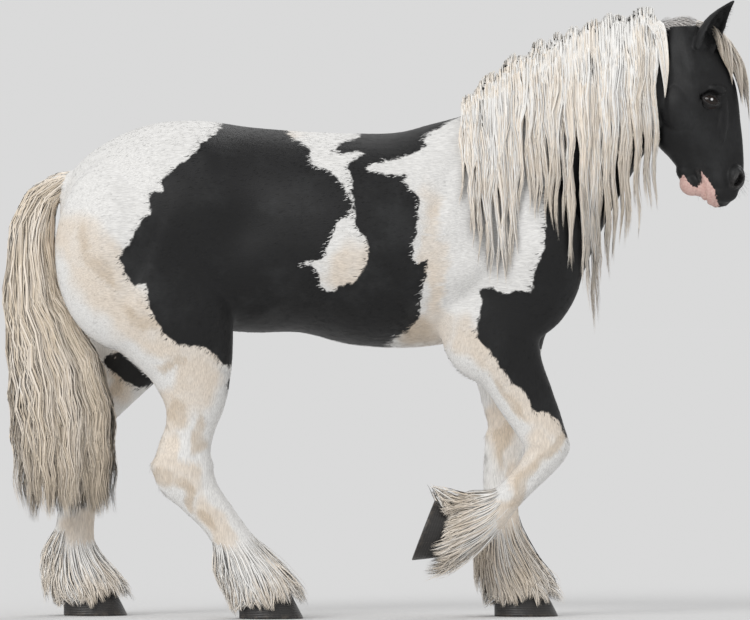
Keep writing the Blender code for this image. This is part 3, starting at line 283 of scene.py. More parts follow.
def sphereGrid(around, levels, gap):
    # Turns about the poles' line and tilts from it, which stop short of both poles by the gap
    return np.meshgrid(np.linspace(0, 2 * np.pi, around, endpoint=False),
        np.linspace(gap, np.pi - gap, levels))


def ballForm(centre, size, side=1):
    # Point = centre + size x (sin tilt cos turn, sin tilt sin turn, cos tilt)
    turn, tilt = sphereGrid(28, 16, 0.02)
    ring = np.stack([np.sin(tilt) * np.cos(turn), np.sin(tilt) * np.sin(turn), np.cos(tilt)], axis=-1)
    return tube(ring * np.array(size) + np.array(centre) * (1, side, 1))


earShape = {
    "base": (0.952, 0.060, 1.682), "tip": (1.050, 0.080, 1.811), "half": 0.039, "wall": 0.0068,
    "levels": [-0.12, 0.05, 0.20, 0.36, 0.52, 0.68, 0.82, 0.93, 0.985],
    "widths": [0.80, 1.00, 1.08, 1.04, 0.90, 0.68, 0.44, 0.24, 0.11],
    "bends": [0.014, 0.012, 0.008, 0.004, 0.001, 0.0, 0.0, 0.0, -0.001],
}


def earForm(side):
    # Crescent rings up the ear: outer arc, then an inner arc a wall's thickness inside it
    base, tip = np.array(earShape["base"]) * (1, side, 1), np.array(earShape["tip"]) * (1, side, 1)
    long = np.linalg.norm(tip - base)
    axis = (tip - base) / long
    facing = np.array([0.62, 0.62 * side, -0.40])
    facing = unit(facing - axis * (facing @ axis))
    across = np.cross(axis, facing)
    level = np.linspace(-0.12, 0.985, 44)[:, None]
    half = earShape["half"] * np.interp(level, earShape["levels"], earShape["widths"])
    lean = np.interp(level, earShape["levels"], earShape["bends"])
    wrap = 2.1 - 0.9 * np.maximum(level, 0)
    deep = half * 0.94
    middle = base + axis * long * level + facing * lean
    hollow = np.clip((level - 0.02) / 0.2, 0, 1)
    wall = np.minimum(earShape["wall"], half * 0.55)
    sweep = np.linspace(-1, 1, 26)
    outer = middle[:, None] + (half * np.sin(wrap * sweep))[..., None] * across
    outer = outer - (deep * np.cos(wrap * sweep))[..., None] * facing
    innerHalf = (half - wall) * hollow + half * 0.55 * (1 - hollow)
    innerDeep = (deep - wall) * hollow - deep * 0.25 * (1 - hollow)
    back = 0.93 * sweep[::-1]
    inner = middle[:, None] + (innerHalf * np.sin(wrap * back))[..., None] * across
    inner = inner - (innerDeep * np.cos(wrap * back))[..., None] * facing
    return tube(np.concatenate([outer, inner], axis=1))


def fused(name, forms, voxel, rounds, triangles):
    # Overlapping closed forms become one skin, softened, then thinned where it is flat
    piece = makePiece(name, *joined(forms))
    skinModifier = piece.modifiers.new("skin", "REMESH")
    skinModifier.mode = "VOXEL"
    skinModifier.voxel_size = voxel
    soften = piece.modifiers.new("soften", "SMOOTH")
    soften.factor = 0.5
    soften.iterations = rounds
    graph = bpy.context.evaluated_depsgraph_get()
    mesh = bpy.data.meshes.new_from_object(piece.evaluated_get(graph))
    mesh.calc_loop_triangles()
    piece.modifiers.clear()
    piece.data = mesh
    fewer = piece.modifiers.new("fewer", "DECIMATE")
    fewer.ratio = min(1.0, triangles / len(mesh.loop_triangles))
    graph = bpy.context.evaluated_depsgraph_get()
    mesh = bpy.data.meshes.new_from_object(piece.evaluated_get(graph))
    bpy.data.objects.remove(piece)
    return mesh


def cutMesh(mesh, point, into, keepInto):
    # Drops the half on one side of a plane and leaves its edge open
    bm = bmesh.new()
    bm.from_mesh(mesh)
    geometry = bm.verts[:] + bm.edges[:] + bm.faces[:]
    bmesh.ops.bisect_plane(
        bm, geom=geometry, dist=1e-5, plane_co=point, plane_no=into,
        clear_inner=keepInto, clear_outer=not keepInto,
    )
    bm.to_mesh(mesh)
    bm.free()
    return mesh


skinShape = {
    "bodyVoxel": 0.008, "bodyRounds": 10, "bodyTriangles": 96000,
    "headVoxel": 0.003, "headRounds": 9, "headTriangles": 66000,
    "joinPoint": (0.745, 0.0, 1.45), "joinInto": (0.985, 0.0, -0.172),
    "coatDepth": 0.004, "headDepth": 0.0012, "longestEdge": 0.017, "mostHalved": 9000, "halvedUpTo": 0.66,
}


def bridgeSkins(body, head):
    # The two open edges are joined by a band of triangles, so the skin is one closed piece
    bm = bmesh.new()
    bm.from_mesh(body)
    bm.from_mesh(head)
    free = [edge for edge in bm.edges if len(edge.link_faces) == 1]
    bmesh.ops.bridge_loops(bm, edges=free)
    left = [edge for edge in bm.edges if len(edge.link_faces) == 1]
    if left:
        bmesh.ops.holes_fill(bm, edges=left, sides=0)
    bmesh.ops.recalc_face_normals(bm, faces=bm.faces[:])
    return bm


def refine(bm, centres, radius, rounds):
    # Edges near each centre are halved, which leaves more points for the lids and nostrils
    for turn in range(rounds):
        near = [
            edge for edge in bm.edges
            if min((edge.verts[0].co - Vector(c)).length for c in centres) < radius * (1 - 0.25 * turn)
            and edge.calc_length() > 0.0011
        ]
        bmesh.ops.subdivide_edges(bm, edges=near, cuts=1, use_grid_fill=True)
    # The longest edges are halved too, so that a narrow marking never falls between two points
    trunk = (edge for edge in bm.edges if edge.verts[0].co.x < skinShape["halvedUpTo"])
    long = sorted((edge for edge in trunk if edge.calc_length() > skinShape["longestEdge"]), key=edgeLength)
    for edge in long[::-1][:skinShape["mostHalved"]]:
        if all(len(face.verts) == 3 for face in edge.link_faces):
            _, middle = bmesh.utils.edge_split(edge, edge.verts[0], 0.5)
            for face in middle.link_faces[:]:
                across = next(vert for vert in face.verts
                    if all(middle not in link.verts for link in vert.link_edges))
                bmesh.utils.face_split(face, middle, across)


def edgeLength(edge):
    # Sorting value of an edge
    return edge.calc_length()


def mirrorPoint(point, side):
    # The same place on the other side where side is -1
    return (point[0], point[1] * side, point[2])


# The eyeball's half sizes along the eye, across it and outward, and the opening between the lids
eyeShape = {
    "centre": (0.974, 0.0800, 1.515), "ball": (0.0290, 0.0245, 0.0238), "halfLong": 0.0220, "halfUp": 0.0138,
    "halfDown": 0.0108, "outward": (0.15, 0.985, 0.08), "long": (0.94, 0.0, -0.34), "sunk": 0.0013,
}
nostrilShape = {
    "centre": (1.056, 0.050, 1.283), "outward": (0.50, 0.84, -0.12), "long": (0.55, -0.10, 0.82),
    "halfLong": 0.0200, "halfHigh": 0.0105, "deep": 0.019, "rim": 0.0050,
}
mouthLine = [(0.944, 1.309), (0.951, 1.290), (0.957, 1.272), (0.961, 1.254), (0.964, 1.236), (0.968, 1.210)]


def localPlace(points, centre, outward, long):
    # Coordinates along the form's long way, its high way and outward, about its centre
    w = unit(np.array(outward))
    u = np.array(long) - w * (np.array(long) @ w)
    u = unit(u)
    v = np.cross(w, u)
    offset = points - np.array(centre)
    return offset @ u, offset @ v, offset @ w, w, u, v


def polyDistance(points, line):
    # Distance in the XZ plane to a polyline, and the share of the way along it
    start, end = np.array(line[:-1]), np.array(line[1:])
    offset = points[:, None] - start[None]
    way = end - start
    share = np.clip((offset * way).sum(-1) / (way**2).sum(-1), 0, 1)
    gap = np.linalg.norm(offset - share[..., None] * way, axis=-1)
    best = gap.argmin(axis=1)
    rows = np.arange(len(points))
    return gap[rows, best], (best + share[rows, best]) / len(start)


# Flank forms: x, z, radius along, radius across, tilt in degrees, rise
fleshForms = [
    (-0.500, 1.365, 0.050, 0.050, 0, 0.009), (-0.400, 1.130, 0.100, 0.075, 60, -0.013),
    (-0.480, 0.910, 0.070, 0.060, 0, 0.010), (-0.800, 1.120, 0.170, 0.060, 80, 0.009),
    (-0.690, 1.030, 0.140, 0.020, 68, -0.006), (-0.600, 1.180, 0.120, 0.070, 30, 0.007),
    (0.500, 1.090, 0.075, 0.060, 40, 0.012), (0.270, 1.020, 0.110, 0.060, 35, 0.014),
    (0.225, 0.890, 0.040, 0.040, 0, 0.010), (0.180, 1.220, 0.160, 0.020, 70, -0.006),
    (0.330, 1.290, 0.150, 0.016, 62, 0.005), (0.430, 1.240, 0.090, 0.026, 62, -0.006),
    (0.560, 1.350, 0.110, 0.045, 52, 0.006), (0.660, 1.200, 0.150, 0.014, 60, -0.006),
    (0.360, 0.730, 0.080, 0.026, 80, 0.004), (-0.060, 1.060, 0.180, 0.090, 0, 0.004),
    (0.130, 0.900, 0.060, 0.020, 50, -0.004), (-0.330, 0.900, 0.080, 0.018, 40, 0.006),
]
# Leg forms of each limb: x, z, radius, rise, from which sides (x part of the normal)
jointForms = {
    "rightHind": [(-0.655, 0.445, 0.020, 0.012, -1), (-0.600, 0.520, 0.030, -0.010, 0),
        (-0.545, 0.330, 0.018, -0.004, 0)],
    "leftHind": [(-0.965, 0.500, 0.020, 0.010, -1), (-0.915, 0.570, 0.030, -0.010, 0),
        (-0.880, 0.370, 0.018, -0.004, 0)],
    "rightFore": [(0.545, 0.500, 0.026, 0.007, 1), (0.465, 0.520, 0.016, 0.006, -1),
        (0.445, 0.400, 0.018, -0.004, 0)],
    "leftFore": [(0.435, 0.500, 0.028, 0.006, 1), (0.330, 0.530, 0.016, 0.006, -1),
        (0.372, 0.420, 0.018, -0.003, 0)],
}
# Face forms on both sides: x, z, radius along, radius across, tilt, rise
faceForms = [
    (0.878, 1.500, 0.070, 0.060, 70, 0.007), (0.945, 1.440, 0.085, 0.014, 118, -0.0038),
    (1.002, 1.435, 0.085, 0.017, 104, 0.0036), (1.040, 1.420, 0.080, 0.022, 100, -0.0018),
    (0.984, 1.558, 0.032, 0.012, -14, 0.0048), (0.940, 1.578, 0.024, 0.017, 0, -0.0066),
    (0.885, 1.610, 0.045, 0.016, 100, -0.0040), (0.985, 1.360, 0.045, 0.016, 112, -0.0026),
    (1.045, 1.335, 0.022, 0.012, 60, -0.0032), (0.842, 1.500, 0.110, 0.013, 92, -0.0046),
    (0.935, 1.395, 0.060, 0.0055, 118, 0.0020), (0.972, 1.395, 0.045, 0.0045, 78, 0.0016),
    (0.934, 1.300, 0.018, 0.008, 60, -0.0022),
]


def ovals(points, forms):
    # Sum of soft ovals: rise x exp(-(along/radius)^2 - (across/radius)^2)
    height = np.zeros(len(points))
    for x, z, long, short, tilt, rise in forms:
        turn = math.radians(tilt)
        dx, dz = points[:, 0] - x, points[:, 2] - z
        a = dx * math.cos(turn) + dz * math.sin(turn)
        b = -dx * math.sin(turn) + dz * math.cos(turn)
        height += rise * np.exp(-((a / long) ** 2) - (b / short) ** 2)
    return height


def shapeFlesh(points, normals):
    # Point + normal x the sum of the soft forms
    sideways = np.clip(np.abs(normals[:, 1]) * 1.5 - 0.25, 0, 1)
    height = 1.35 * ovals(points, fleshForms) * sideways
    for name, forms in jointForms.items():
        onSide = points[:, 1] * (-1 if "right" in name else 1) > 0.02
        for x, z, radius, rise, toward in forms:
            distance = (points[:, 0] - x) ** 2 + (points[:, 2] - z) ** 2
            weight = sideways if toward == 0 else np.clip(normals[:, 0] * toward * 1.5, 0, 1)
            height += rise * np.exp(-distance / radius**2) * weight * onSide
    # Spine furrow on the loins, windpipe and the furrow between the breasts
    back = np.clip(normals[:, 2], 0, 1) * blend(-0.95, -0.75, points[:, 0]) * blend(0.15, -0.1, points[:, 0])
    height -= 0.010 * np.exp(-((points[:, 1] / 0.022) ** 2)) * back
    chest = (np.clip(normals[:, 0], 0, 1) * np.exp(-(((points[:, 2] - 1.03) / 0.12) ** 2))
        * blend(0.4, 0.5, points[:, 0]))
    height -= 0.014 * np.exp(-((points[:, 1] / 0.020) ** 2)) * chest
    return points + normals * height[:, None]


def shapeFace(points, normals):
    # Point + normal x the face's soft forms, then the lips'
    inHead = blend(0.80, 0.86, points[:, 0] + 0.12 * (points[:, 2] - 1.5)) * blend(1.15, 1.19, points[:, 2])
    sideways = np.clip(np.abs(normals[:, 1]) * 1.5 - 0.2, 0, 1)
    height = ovals(points, faceForms) * sideways * inHead
    # Lips: a furrow along the mouth line between two rounded lips
    gap, _ = polyDistance(points[:, [0, 2]], mouthLine)
    lips = inHead * blend(1.325, 1.310, points[:, 2])
    height += (lips * (0.0026 * np.exp(-(((gap - 0.0075) / 0.005) ** 2))
        - 0.0070 * np.exp(-((gap / 0.0022) ** 2))))
    return points + normals * height[:, None]


def shapeNostril(points, side):
    # Point + outward x (rim - pit), both by the distance from the nostril's oval
    u, v, w, outward, *_ = localPlace(
        points, mirrorPoint(nostrilShape["centre"], side), mirrorPoint(nostrilShape["outward"], side),
        mirrorPoint(nostrilShape["long"], side),
    )
    # A comma: the oval's upper end bends toward the face line
    v = v * side + 0.35 * np.maximum(u, 0) ** 2 / nostrilShape["halfLong"]
    reach = np.sqrt((u / nostrilShape["halfLong"]) ** 2 + (v / nostrilShape["halfHigh"]) ** 2)
    near = np.abs(w) < 0.035
    pit = nostrilShape["deep"] * blend(1.05, 0.55, reach)
    rim = nostrilShape["rim"] * np.exp(-(((reach - 1.28) / 0.26) ** 2))
    return points + outward * ((rim - pit) * near)[:, None]


def eyeFrame(side):
    # Centre, long way, upward way and outward way of one eye
    centre = np.array(mirrorPoint(eyeShape["centre"], side))
    outward = unit(np.array(mirrorPoint(eyeShape["outward"], side)))
    long = np.array(eyeShape["long"])
    long = unit(long - outward * (long @ outward))
    high = np.cross(outward, long)
    return centre, long, high * np.sign(high[2]), outward


def ballHeight(u, v):
    # Outward height of the eyeball over its centre: c sqrt(1 - (u/a)^2 - (v/b)^2)
    a, b, c = eyeShape["ball"]
    return c * np.sqrt(np.clip(1 - (u / a) ** 2 - (v / b) ** 2, 0.01, 1))


def lidOutside(u, v):
    # Distance outside the lids' edge, an almond: v = b sqrt(s) (0.45 + 0.55 s^0.25) with s = 1 - (u/a)^2
    inside = np.clip(1 - (u / eyeShape["halfLong"]) ** 2, 0, 1)
    half = np.where(v > 0, eyeShape["halfUp"], eyeShape["halfDown"]) * (0.45 + 0.55 * inside**0.25)
    reach = np.sqrt((u / eyeShape["halfLong"]) ** 2 + (v / half) ** 2)
    return np.sqrt(u**2 + v**2) * (1 - 1 / np.maximum(reach, 1e-6))


def shapeSocket(points, side):
    # Round the eye the skin follows the ball, a little sunk, and runs out into the face
    centre, long, high, outward = eyeFrame(side)
    offset = points - centre
    u, v, w = offset @ long, offset @ high, offset @ outward
    outside = lidOutside(u, v)
    hold = blend(0.019, 0.007, outside) * (w > -0.002) * (np.sqrt(u**2 + v**2) < 0.06)
    target = ballHeight(u, v) - eyeShape["sunk"] - 0.10 * np.clip(outside, 0, 0.02)
    return points + outward * ((target - w) * hold)[:, None]


def buildSkin():
    # Body and head are fused apart, joined by a band, sunk by the coat's depth and shaped
    legs = [limbForm(limbs[name]) for name in limbs]
    shoulders = [limbForm(shoulder, side) for side in (-1, 1)]
    dock = limbForm([(x, z, min(d, 0.034), min(w, 0.034), y) for x, z, d, w, y in tailLine[:6]])
    bodyForms = [trunkForm(), neckForm(), skullForm(), dock] + legs + shoulders
    body = fused("body", bodyForms, skinShape["bodyVoxel"], skinShape["bodyRounds"],
        skinShape["bodyTriangles"])
    headParts = [skullForm(), neckForm(30)] + [ballForm(*form) for form in chinForms]
    headParts += [ballForm(*form, side) for form in headForms for side in (-1, 1)]
    headParts += [earForm(side) for side in (-1, 1)]
    head = fused("headSkin", headParts, skinShape["headVoxel"], skinShape["headRounds"],
        skinShape["headTriangles"])
    into = Vector(skinShape["joinInto"])
    cutMesh(body, skinShape["joinPoint"], into, False)
    cutMesh(head, skinShape["joinPoint"], into, True)
    bm = bridgeSkins(body, head)
    spots = [mirrorPoint(eyeShape["centre"], side) for side in (-1, 1)]
    spots += [mirrorPoint(nostrilShape["centre"], side) for side in (-1, 1)]
    refine(bm, spots, 0.040, 2)
    mesh = bpy.data.meshes.new("skin")
    bm.to_mesh(mesh)
    bm.free()
    points, normals = readPoints(mesh), readPoints(mesh, "normal")
    ears = blend(1.685, 1.705, points[:, 2]) * blend(0.925, 0.945, points[:, 0])
    headShare = blend(0.78, 0.86, points[:, 0])
    headShare *= blend(1.10, 1.18, points[:, 2])
    depth = skinShape["coatDepth"] * (1 - headShare) + skinShape["headDepth"] * headShare * (1 - ears)
    writePoints(mesh, shapeFlesh(points - normals * depth[:, None], normals))
    points, normals = readPoints(mesh), readPoints(mesh, "normal")
    points = shapeFace(points, normals)
    for side in (-1, 1):
        points = shapeNostril(points, side)
        points = shapeSocket(points, side)
    writePoints(mesh, points)
    mesh.polygons.foreach_set("use_smooth", np.full(len(mesh.polygons), True))
    skin = bpy.data.objects.new("skin", mesh)
    bpy.context.scene.collection.objects.link(skin)
    return skin


skin = buildSkin()
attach(skin, "root")
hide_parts(*fleshNodes)
skin.data.calc_loop_triangles()
print("skin", len(skin.data.vertices), "points", len(skin.data.loop_triangles), "triangles")

# Lines along the body: where each begins and ends, its reach, and its tile of the unwrap
spines = {
    "trunk": ([(0.58, 0, 1.10), (0.40, 0, 1.14), (0.10, 0, 1.12), (-0.40, 0, 1.13), (-0.80, 0, 1.15),
        (-0.93, 0, 1.10)], 0.26, 0),
    "neck": ([(0.86, 0, 1.58), (0.70, 0, 1.47), (0.55, 0, 1.36), (0.42, 0, 1.26), (0.34, 0, 1.16)], 0.15, 1),
    "head": ([(0.90, 0, 1.70), (0.93, 0, 1.55), (0.97, 0, 1.40), (1.02, 0, 1.24)], 0.10, 2),
    "tail": ([(x, y, z) for x, z, d, w, y in tailLine], 0.07, 3),
}
for number, (name, rows) in enumerate(limbs.items()):
    spines[name] = ([(x, y, z) for x, z, d, w, y in rows[2:]], 0.09, 4 + number)


def alongSpines(points):
    # Nearest place on each spine: distance over reach, share along, direction, angle about it
    found = []
    for line, reach, tile in spines.values():
        line = np.array(line, float)
        start, way = line[:-1], np.diff(line, axis=0)
        offset = points[:, None] - start[None]
        share = np.clip((offset * way).sum(-1) / (way**2).sum(-1), 0, 1)
        gap = np.linalg.norm(offset - share[..., None] * way, axis=-1)
        best = gap.argmin(axis=1)
        rows = np.arange(len(points))
        direction = unit(way)[best]
        lift = np.stack([-direction[:, 2], 0 * direction[:, 0], direction[:, 0]], axis=1)
        out = offset[rows, best] - share[rows, best][:, None] * way[best]
        angle = np.arctan2(out[:, 1], (out * lift).sum(1))
        found.append((gap[rows, best] / reach, (best + share[rows, best]) / len(start), direction, angle,
            tile))
    return found


def bakePlace(points):
    # The skin's own unwrap: each limb is rolled out along its spine into its tile of a 3 x 3 sheet
    found = alongSpines(points)
    nearest = np.stack([f[0] for f in found]).argmin(axis=0)
    share = np.stack([f[1] for f in found])[nearest, np.arange(len(points))]
    angle = np.stack([f[3] for f in found])[nearest, np.arange(len(points))]
    tile = np.array([f[4] for f in found])[nearest]
    u = (tile % 3 + 0.03 + 0.93 * share) / 3
    v = (tile // 3 + 0.03 + 0.93 * (angle / (2 * np.pi) + 0.5)) / 3
    return np.stack([u, v], axis=1)


def lieAt(points, normals):
    # The coat lies down the head and legs, back along the neck and trunk and a little down
    total = np.zeros_like(points)
    for (reach, _, direction, *_), name in zip(alongSpines(points), spines):
        way = direction + (np.array([0, 0, -0.35]) if name in ("trunk", "neck") else 0)
        total += way * np.exp(-(reach**2) * (0.5 if name == "trunk" else 1.4))[:, None]
    total -= normals * (total * normals).sum(1, keepdims=True)
    return unit(total)


def setMesh(mesh, points, loops, sizes):
    # Points, corners and face sizes written as whole arrays
    mesh.vertices.add(len(points))
    mesh.vertices.foreach_set("co", points.astype(np.float32).ravel())
    mesh.loops.add(len(loops))
    mesh.loops.foreach_set("vertex_index", loops.astype(np.int32))
    mesh.polygons.add(len(sizes))
    mesh.polygons.foreach_set("loop_start", np.concatenate([[0], np.cumsum(sizes)[:-1]]).astype(np.int32))
    mesh.polygons.foreach_set("use_smooth", np.ones(len(sizes), bool))
    mesh.update(calc_edges=True)


def setField(mesh, name, values):
    # One value at each point
    field = mesh.attributes.new(name, "FLOAT", "POINT")
    field.data.foreach_set("value", np.ascontiguousarray(values, dtype=np.float32).ravel())


def makeLocks(name, paths, outs, halves, highs, fields, material, own=0.55):
    # Each lock is a flat three-sided prism carried along its path, closed at the root and the tip:
    # ring = centre +- across x half width, ridge = centre + out x height, all shrinking to a point.
    # It shades with the mass that it lies in: normal = own x its own normal + (1 - own) x outward
    count, steps = paths.shape[:2]
    way = unit(np.gradient(paths, axis=1))
    across = unit(np.cross(np.broadcast_to(outs.reshape(count, -1, 3), paths.shape), way))
    out = np.cross(way, across)
    half = np.broadcast_to(halves, (count, steps))[..., None]
    high = np.broadcast_to(highs, (count, steps))[..., None]
    rings = np.stack([paths + across * half, paths + out * high, paths - across * half], axis=2)[:, :-1]
    rim = (steps - 1) * 3
    points = np.concatenate([rings.reshape(count, rim, 3), paths[:, -1:]], axis=1)
    i, j = np.meshgrid(np.arange(steps - 2), np.arange(3), indexing="ij")
    a, b = i * 3 + j, i * 3 + (j + 1) % 3
    quads = np.stack([a, b, b + 3, a + 3], axis=-1).reshape(-1)
    last = rim - 3
    ends = np.array([2, 1, 0, last, last + 1, rim, last + 1, last + 2, rim, last + 2, last, rim])
    pattern = np.concatenate([quads, ends])
    loops = (np.arange(count)[:, None] * (rim + 1) + pattern).ravel()
    sizes = np.tile(np.concatenate([np.full((steps - 2) * 3, 4), np.full(4, 3)]), count)
    mesh = bpy.data.meshes.new(name)
    setMesh(mesh, points.reshape(-1, 3), loops, sizes)
    outward = np.repeat(out[:, :-1, None], 3, axis=2)
    sides = np.stack([across, out, -across], axis=2)[:, :-1]
    shading = unit(own * sides + (1 - own) * outward).reshape(count, rim, 3)
    shading = np.concatenate([shading, out[:, -1:]], axis=1).reshape(-1, 3)
    mesh.normals_split_custom_set_from_vertices(shading)
    along = np.append(np.repeat(np.arange(steps - 1) / (steps - 1), 3), 1.0)
    setField(mesh, "along", np.tile(along, count))
    for key, values in fields.items():
        setField(mesh, key, np.repeat(values, rim + 1))
    corner = np.append(np.tile([0, 0.5, 1.0], steps - 1), 0.5)
    patch = np.stack([corner, along], axis=1)[pattern] * 0.003
    place = bakePlace(paths[:, 0])
    mesh.uv_layers.new(name="OFBake").data.foreach_set("uv",
        (place[:, None] + patch[None]).astype(np.float32).ravel())
    mesh.materials.append(material)
    piece = bpy.data.objects.new(name, mesh)
    bpy.context.scene.collection.objects.link(piece)
    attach(piece, "root")
    print(name, count, "locks", count * ((steps - 2) * 6 + 4), "triangles")
    return piece


def taper(steps, full=0.35, power=1.6):
    # Width share along a lock: quickly full, then thinning to the tip
    t = np.linspace(0, 1, steps)
    return np.minimum(1, 0.45 + 2.2 * t / max(full, 0.01) * 0.25) * np.clip(1 - t**power, 0.04, 1) ** 0.8


def flankGrid(points, side, cell=0.008):
    # Outermost |y| of the skin seen from one side, on a grid over X and Z, its holes filled in
    lowX, lowZ, countX, countZ = -1.1, 0.0, 290, 240
    grid = np.zeros((countX, countZ))
    mine = points[points[:, 1] * side > 0]
    ix = np.clip(((mine[:, 0] - lowX) / cell).astype(int), 0, countX - 1)
    iz = np.clip(((mine[:, 2] - lowZ) / cell).astype(int), 0, countZ - 1)
    np.maximum.at(grid, (ix, iz), np.abs(mine[:, 1]))
    for _ in range(2):
        near = np.max([np.roll(grid, (a, b), (0, 1)) for a in (-1, 0, 1) for b in (-1, 0, 1)], axis=0)
        grid = np.where(grid < near - 0.02, near, grid)
    for _ in range(2):
        grid = sum(np.roll(grid, (a, b), (0, 1)) for a in (-1, 0, 1) for b in (-1, 0, 1)) / 9

    def read(x, z):
        fx = np.clip((x - lowX) / cell - 0.5, 0, countX - 2)
        fz = np.clip((z - lowZ) / cell - 0.5, 0, countZ - 2)
        i, j = fx.astype(int), fz.astype(int)
        a, b = fx - i, fz - j
        low = grid[i, j] * (1 - a) + grid[i + 1, j] * a
        high = grid[i, j + 1] * (1 - a) + grid[i + 1, j + 1] * a
        return low * (1 - b) + high * b

    return read


def between(rows, place):
    # Rows read at fractional places: row x (1 - part) + next row x part
    index = place.astype(int)
    part = (place - index)[..., None]
    return rows[index] * (1 - part) + rows[index + 1] * part


skinPoints = readPoints(skin.data)
flank = {side: flankGrid(skinPoints, side) for side in (-1, 1)}
crestLine = smoothRows(neck, 80)[:, :2]


def crestAt(share):
    # Crest point at a share of the neck's length
    place = np.clip(share, 0, 1) * (len(crestLine) - 1)
    index = np.minimum(place.astype(int), len(crestLine) - 2)
    part = (place - index)[:, None]
    return crestLine[index] * (1 - part) + crestLine[index + 1] * part


mane = {
    "seed": 4, "rootFrom": 0.10, "rootTo": 0.905, "lift": (0.028, 0.052), "clumps": 26, "scallops": 11,
    "near": 4400, "far": 1900, "steps": 12, "farSteps": 10, "halfWidth": (0.0013, 0.0027), "high": 0.0008,
    "wave": 0.0060, "layer": 0.026, "clumpPull": 0.80, "lining": 0.32,
    # x, height of the tips under it
    "tips": [
        (0.235, 1.28), (0.271, 1.09), (0.300, 1.045), (0.350, 0.955), (0.374, 0.98), (0.403, 1.13),
        (0.447, 1.23), (0.491, 1.15), (0.535, 1.13), (0.579, 1.00), (0.623, 0.855), (0.652, 0.97),
        (0.687, 1.08), (0.740, 1.11), (0.769, 1.19), (0.800, 1.21), (0.822, 1.30), (0.845, 1.50),
        (0.880, 1.63),
    ],
}


def maneStrands(dice, count, side, steps):
    # A strand rises from the crest, turns over and hangs, drawn toward the middle of its own lock
    clumps, first, last = mane["clumps"], mane["rootFrom"], mane["rootTo"]
    home = (np.arange(clumps) + dice.uniform(0.1, 0.9, clumps)) / clumps
    which = dice.integers(0, clumps, count)
    spread = dice.normal(0, 0.60, count).clip(-1.3, 1.3) / clumps
    share = first + (last - first) * (home[which] + spread).clip(0, 1)
    crest, centre = crestAt(share), crestAt(first + (last - first) * home)
    clumpTip = np.interp(centre[:, 0], *zip(*mane["tips"])) + dice.uniform(-0.045, 0.010, clumps)
    if side > 0:
        clumpTip = centre[:, 1] - dice.uniform(0.17, 0.34, clumps)
    shorter = dice.uniform(0, 1, count) ** 2.0
    drop = np.maximum(crest[:, 1] - clumpTip[which], 0.06)
    tip = clumpTip[which] + shorter * 0.30 * drop + np.abs(spread) * clumps * 0.12 * drop
    lift = dice.uniform(*mane["lift"], count) * (0.85 + 0.35 * np.sin(which * 2.4))
    scallop = np.abs(np.sin(np.pi * mane["scallops"] * share + 1.1 * np.sin(11 * share))) ** 0.8
    lift = lift * np.interp(share, [0.0, 0.22], [0.45, 1.0]) * (0.78 + 0.40 * scallop)
    t = np.concatenate([[0, 0.02, 0.05, 0.10], np.linspace(0.18, 1, steps - 4)])[None]
    top = crest[:, 1] + lift
    rise = crest[:, 1:] + np.interp(t[0], [0, 0.02, 0.05, 0.10], [-0.4, 0.55, 1.0, 0.75]) * lift[:, None]
    fall = np.clip((t - 0.07) / 0.93, 0, 1) ** 1.1
    z = np.where(t < 0.14, rise, top[:, None] + (tip - top)[:, None] * fall)
    pull = mane["clumpPull"] * blend(0.05, 0.85, t)
    drift = dice.uniform(-0.010, 0.022, clumps)[which][:, None] * t**1.2
    phase = dice.uniform(0, 6.28, clumps)[which][:, None]
    ripple = dice.uniform(0, 6.28, count)[:, None]
    long = (top - tip)[:, None]
    wave = (mane["wave"] * np.sin(phase + long * t * 30)
        + 0.30 * mane["wave"] * np.sin(2 * phase + long * t * 68))
    wave = wave * blend(0.08, 0.5, t) + 0.0020 * np.sin(ripple + long * t * 60) * t
    x = crest[:, :1] * (1 - pull) + centre[which][:, :1] * pull + drift + wave
    layer = dice.uniform(0, 1, count)
    clear = 0.004 + mane["layer"] * layer[:, None] * blend(0.05, 0.3, t) * (1 - 0.45 * t)
    swell = 0.007 * np.sin(which * 1.7)[:, None] * np.sin(np.pi * t)
    want = flank[side](x, z) + clear + swell
    step = np.abs(np.gradient(z, axis=1))
    begin = dice.uniform(-0.013, 0.009, count)
    y = np.zeros_like(x)
    y[:, 0], y[:, 1] = begin, begin * 0.9 + 0.002
    y[:, 2] = begin * 0.5 + 0.010 + 0.006 * layer
    y[:, 3] = np.maximum(y[:, 2] + 0.016, np.minimum(want[:, 3], 0.050))
    for k in range(4, steps):
        y[:, k] = np.maximum(want[:, k], y[:, k - 1] - 0.30 * step[:, k])
    y += 0.003 * np.sin(ripple * 3 + 9 * t) * t
    paths = np.stack([x, side * y, z], axis=-1)
    out = np.zeros_like(paths)
    out[..., 1] = side * blend(0.03, 0.16, t)
    out[..., 2] = 1 - blend(0.05, 0.20, t)
    out[..., 0] = dice.normal(0, 0.28, count)[:, None] * blend(0.1, 0.4, t)
    out[layer < mane["lining"]] *= (1, -1, 1)
    widths = dice.uniform(*mane["halfWidth"], count)
    return paths, unit(out), widths, share


def buildMane():
    # Three pieces: two layers on the drawn side, one on the far side
    dice = np.random.default_rng(mane["seed"])
    for name, side, count, steps in (("maneInner", -1, mane["near"] // 2, mane["steps"]),
                                     ("maneOuter", -1, mane["near"] // 2, mane["steps"]),
                                     ("maneFar", 1, mane["far"], mane["farSteps"])):
        paths, outs, widths, share = maneStrands(dice, count, side, steps)
        if name == "maneInner":
            widths = widths * 1.7
        shape = taper(steps)
        fields = {"shade": dice.uniform(0, 1, count), "clump": share, "warmth": -0.10 + 0 * share}
        makeLocks(name, paths, outs, widths[:, None] * shape, mane["high"] * shape, fields,
            hairPaint)
    buildFrontLock(dice)


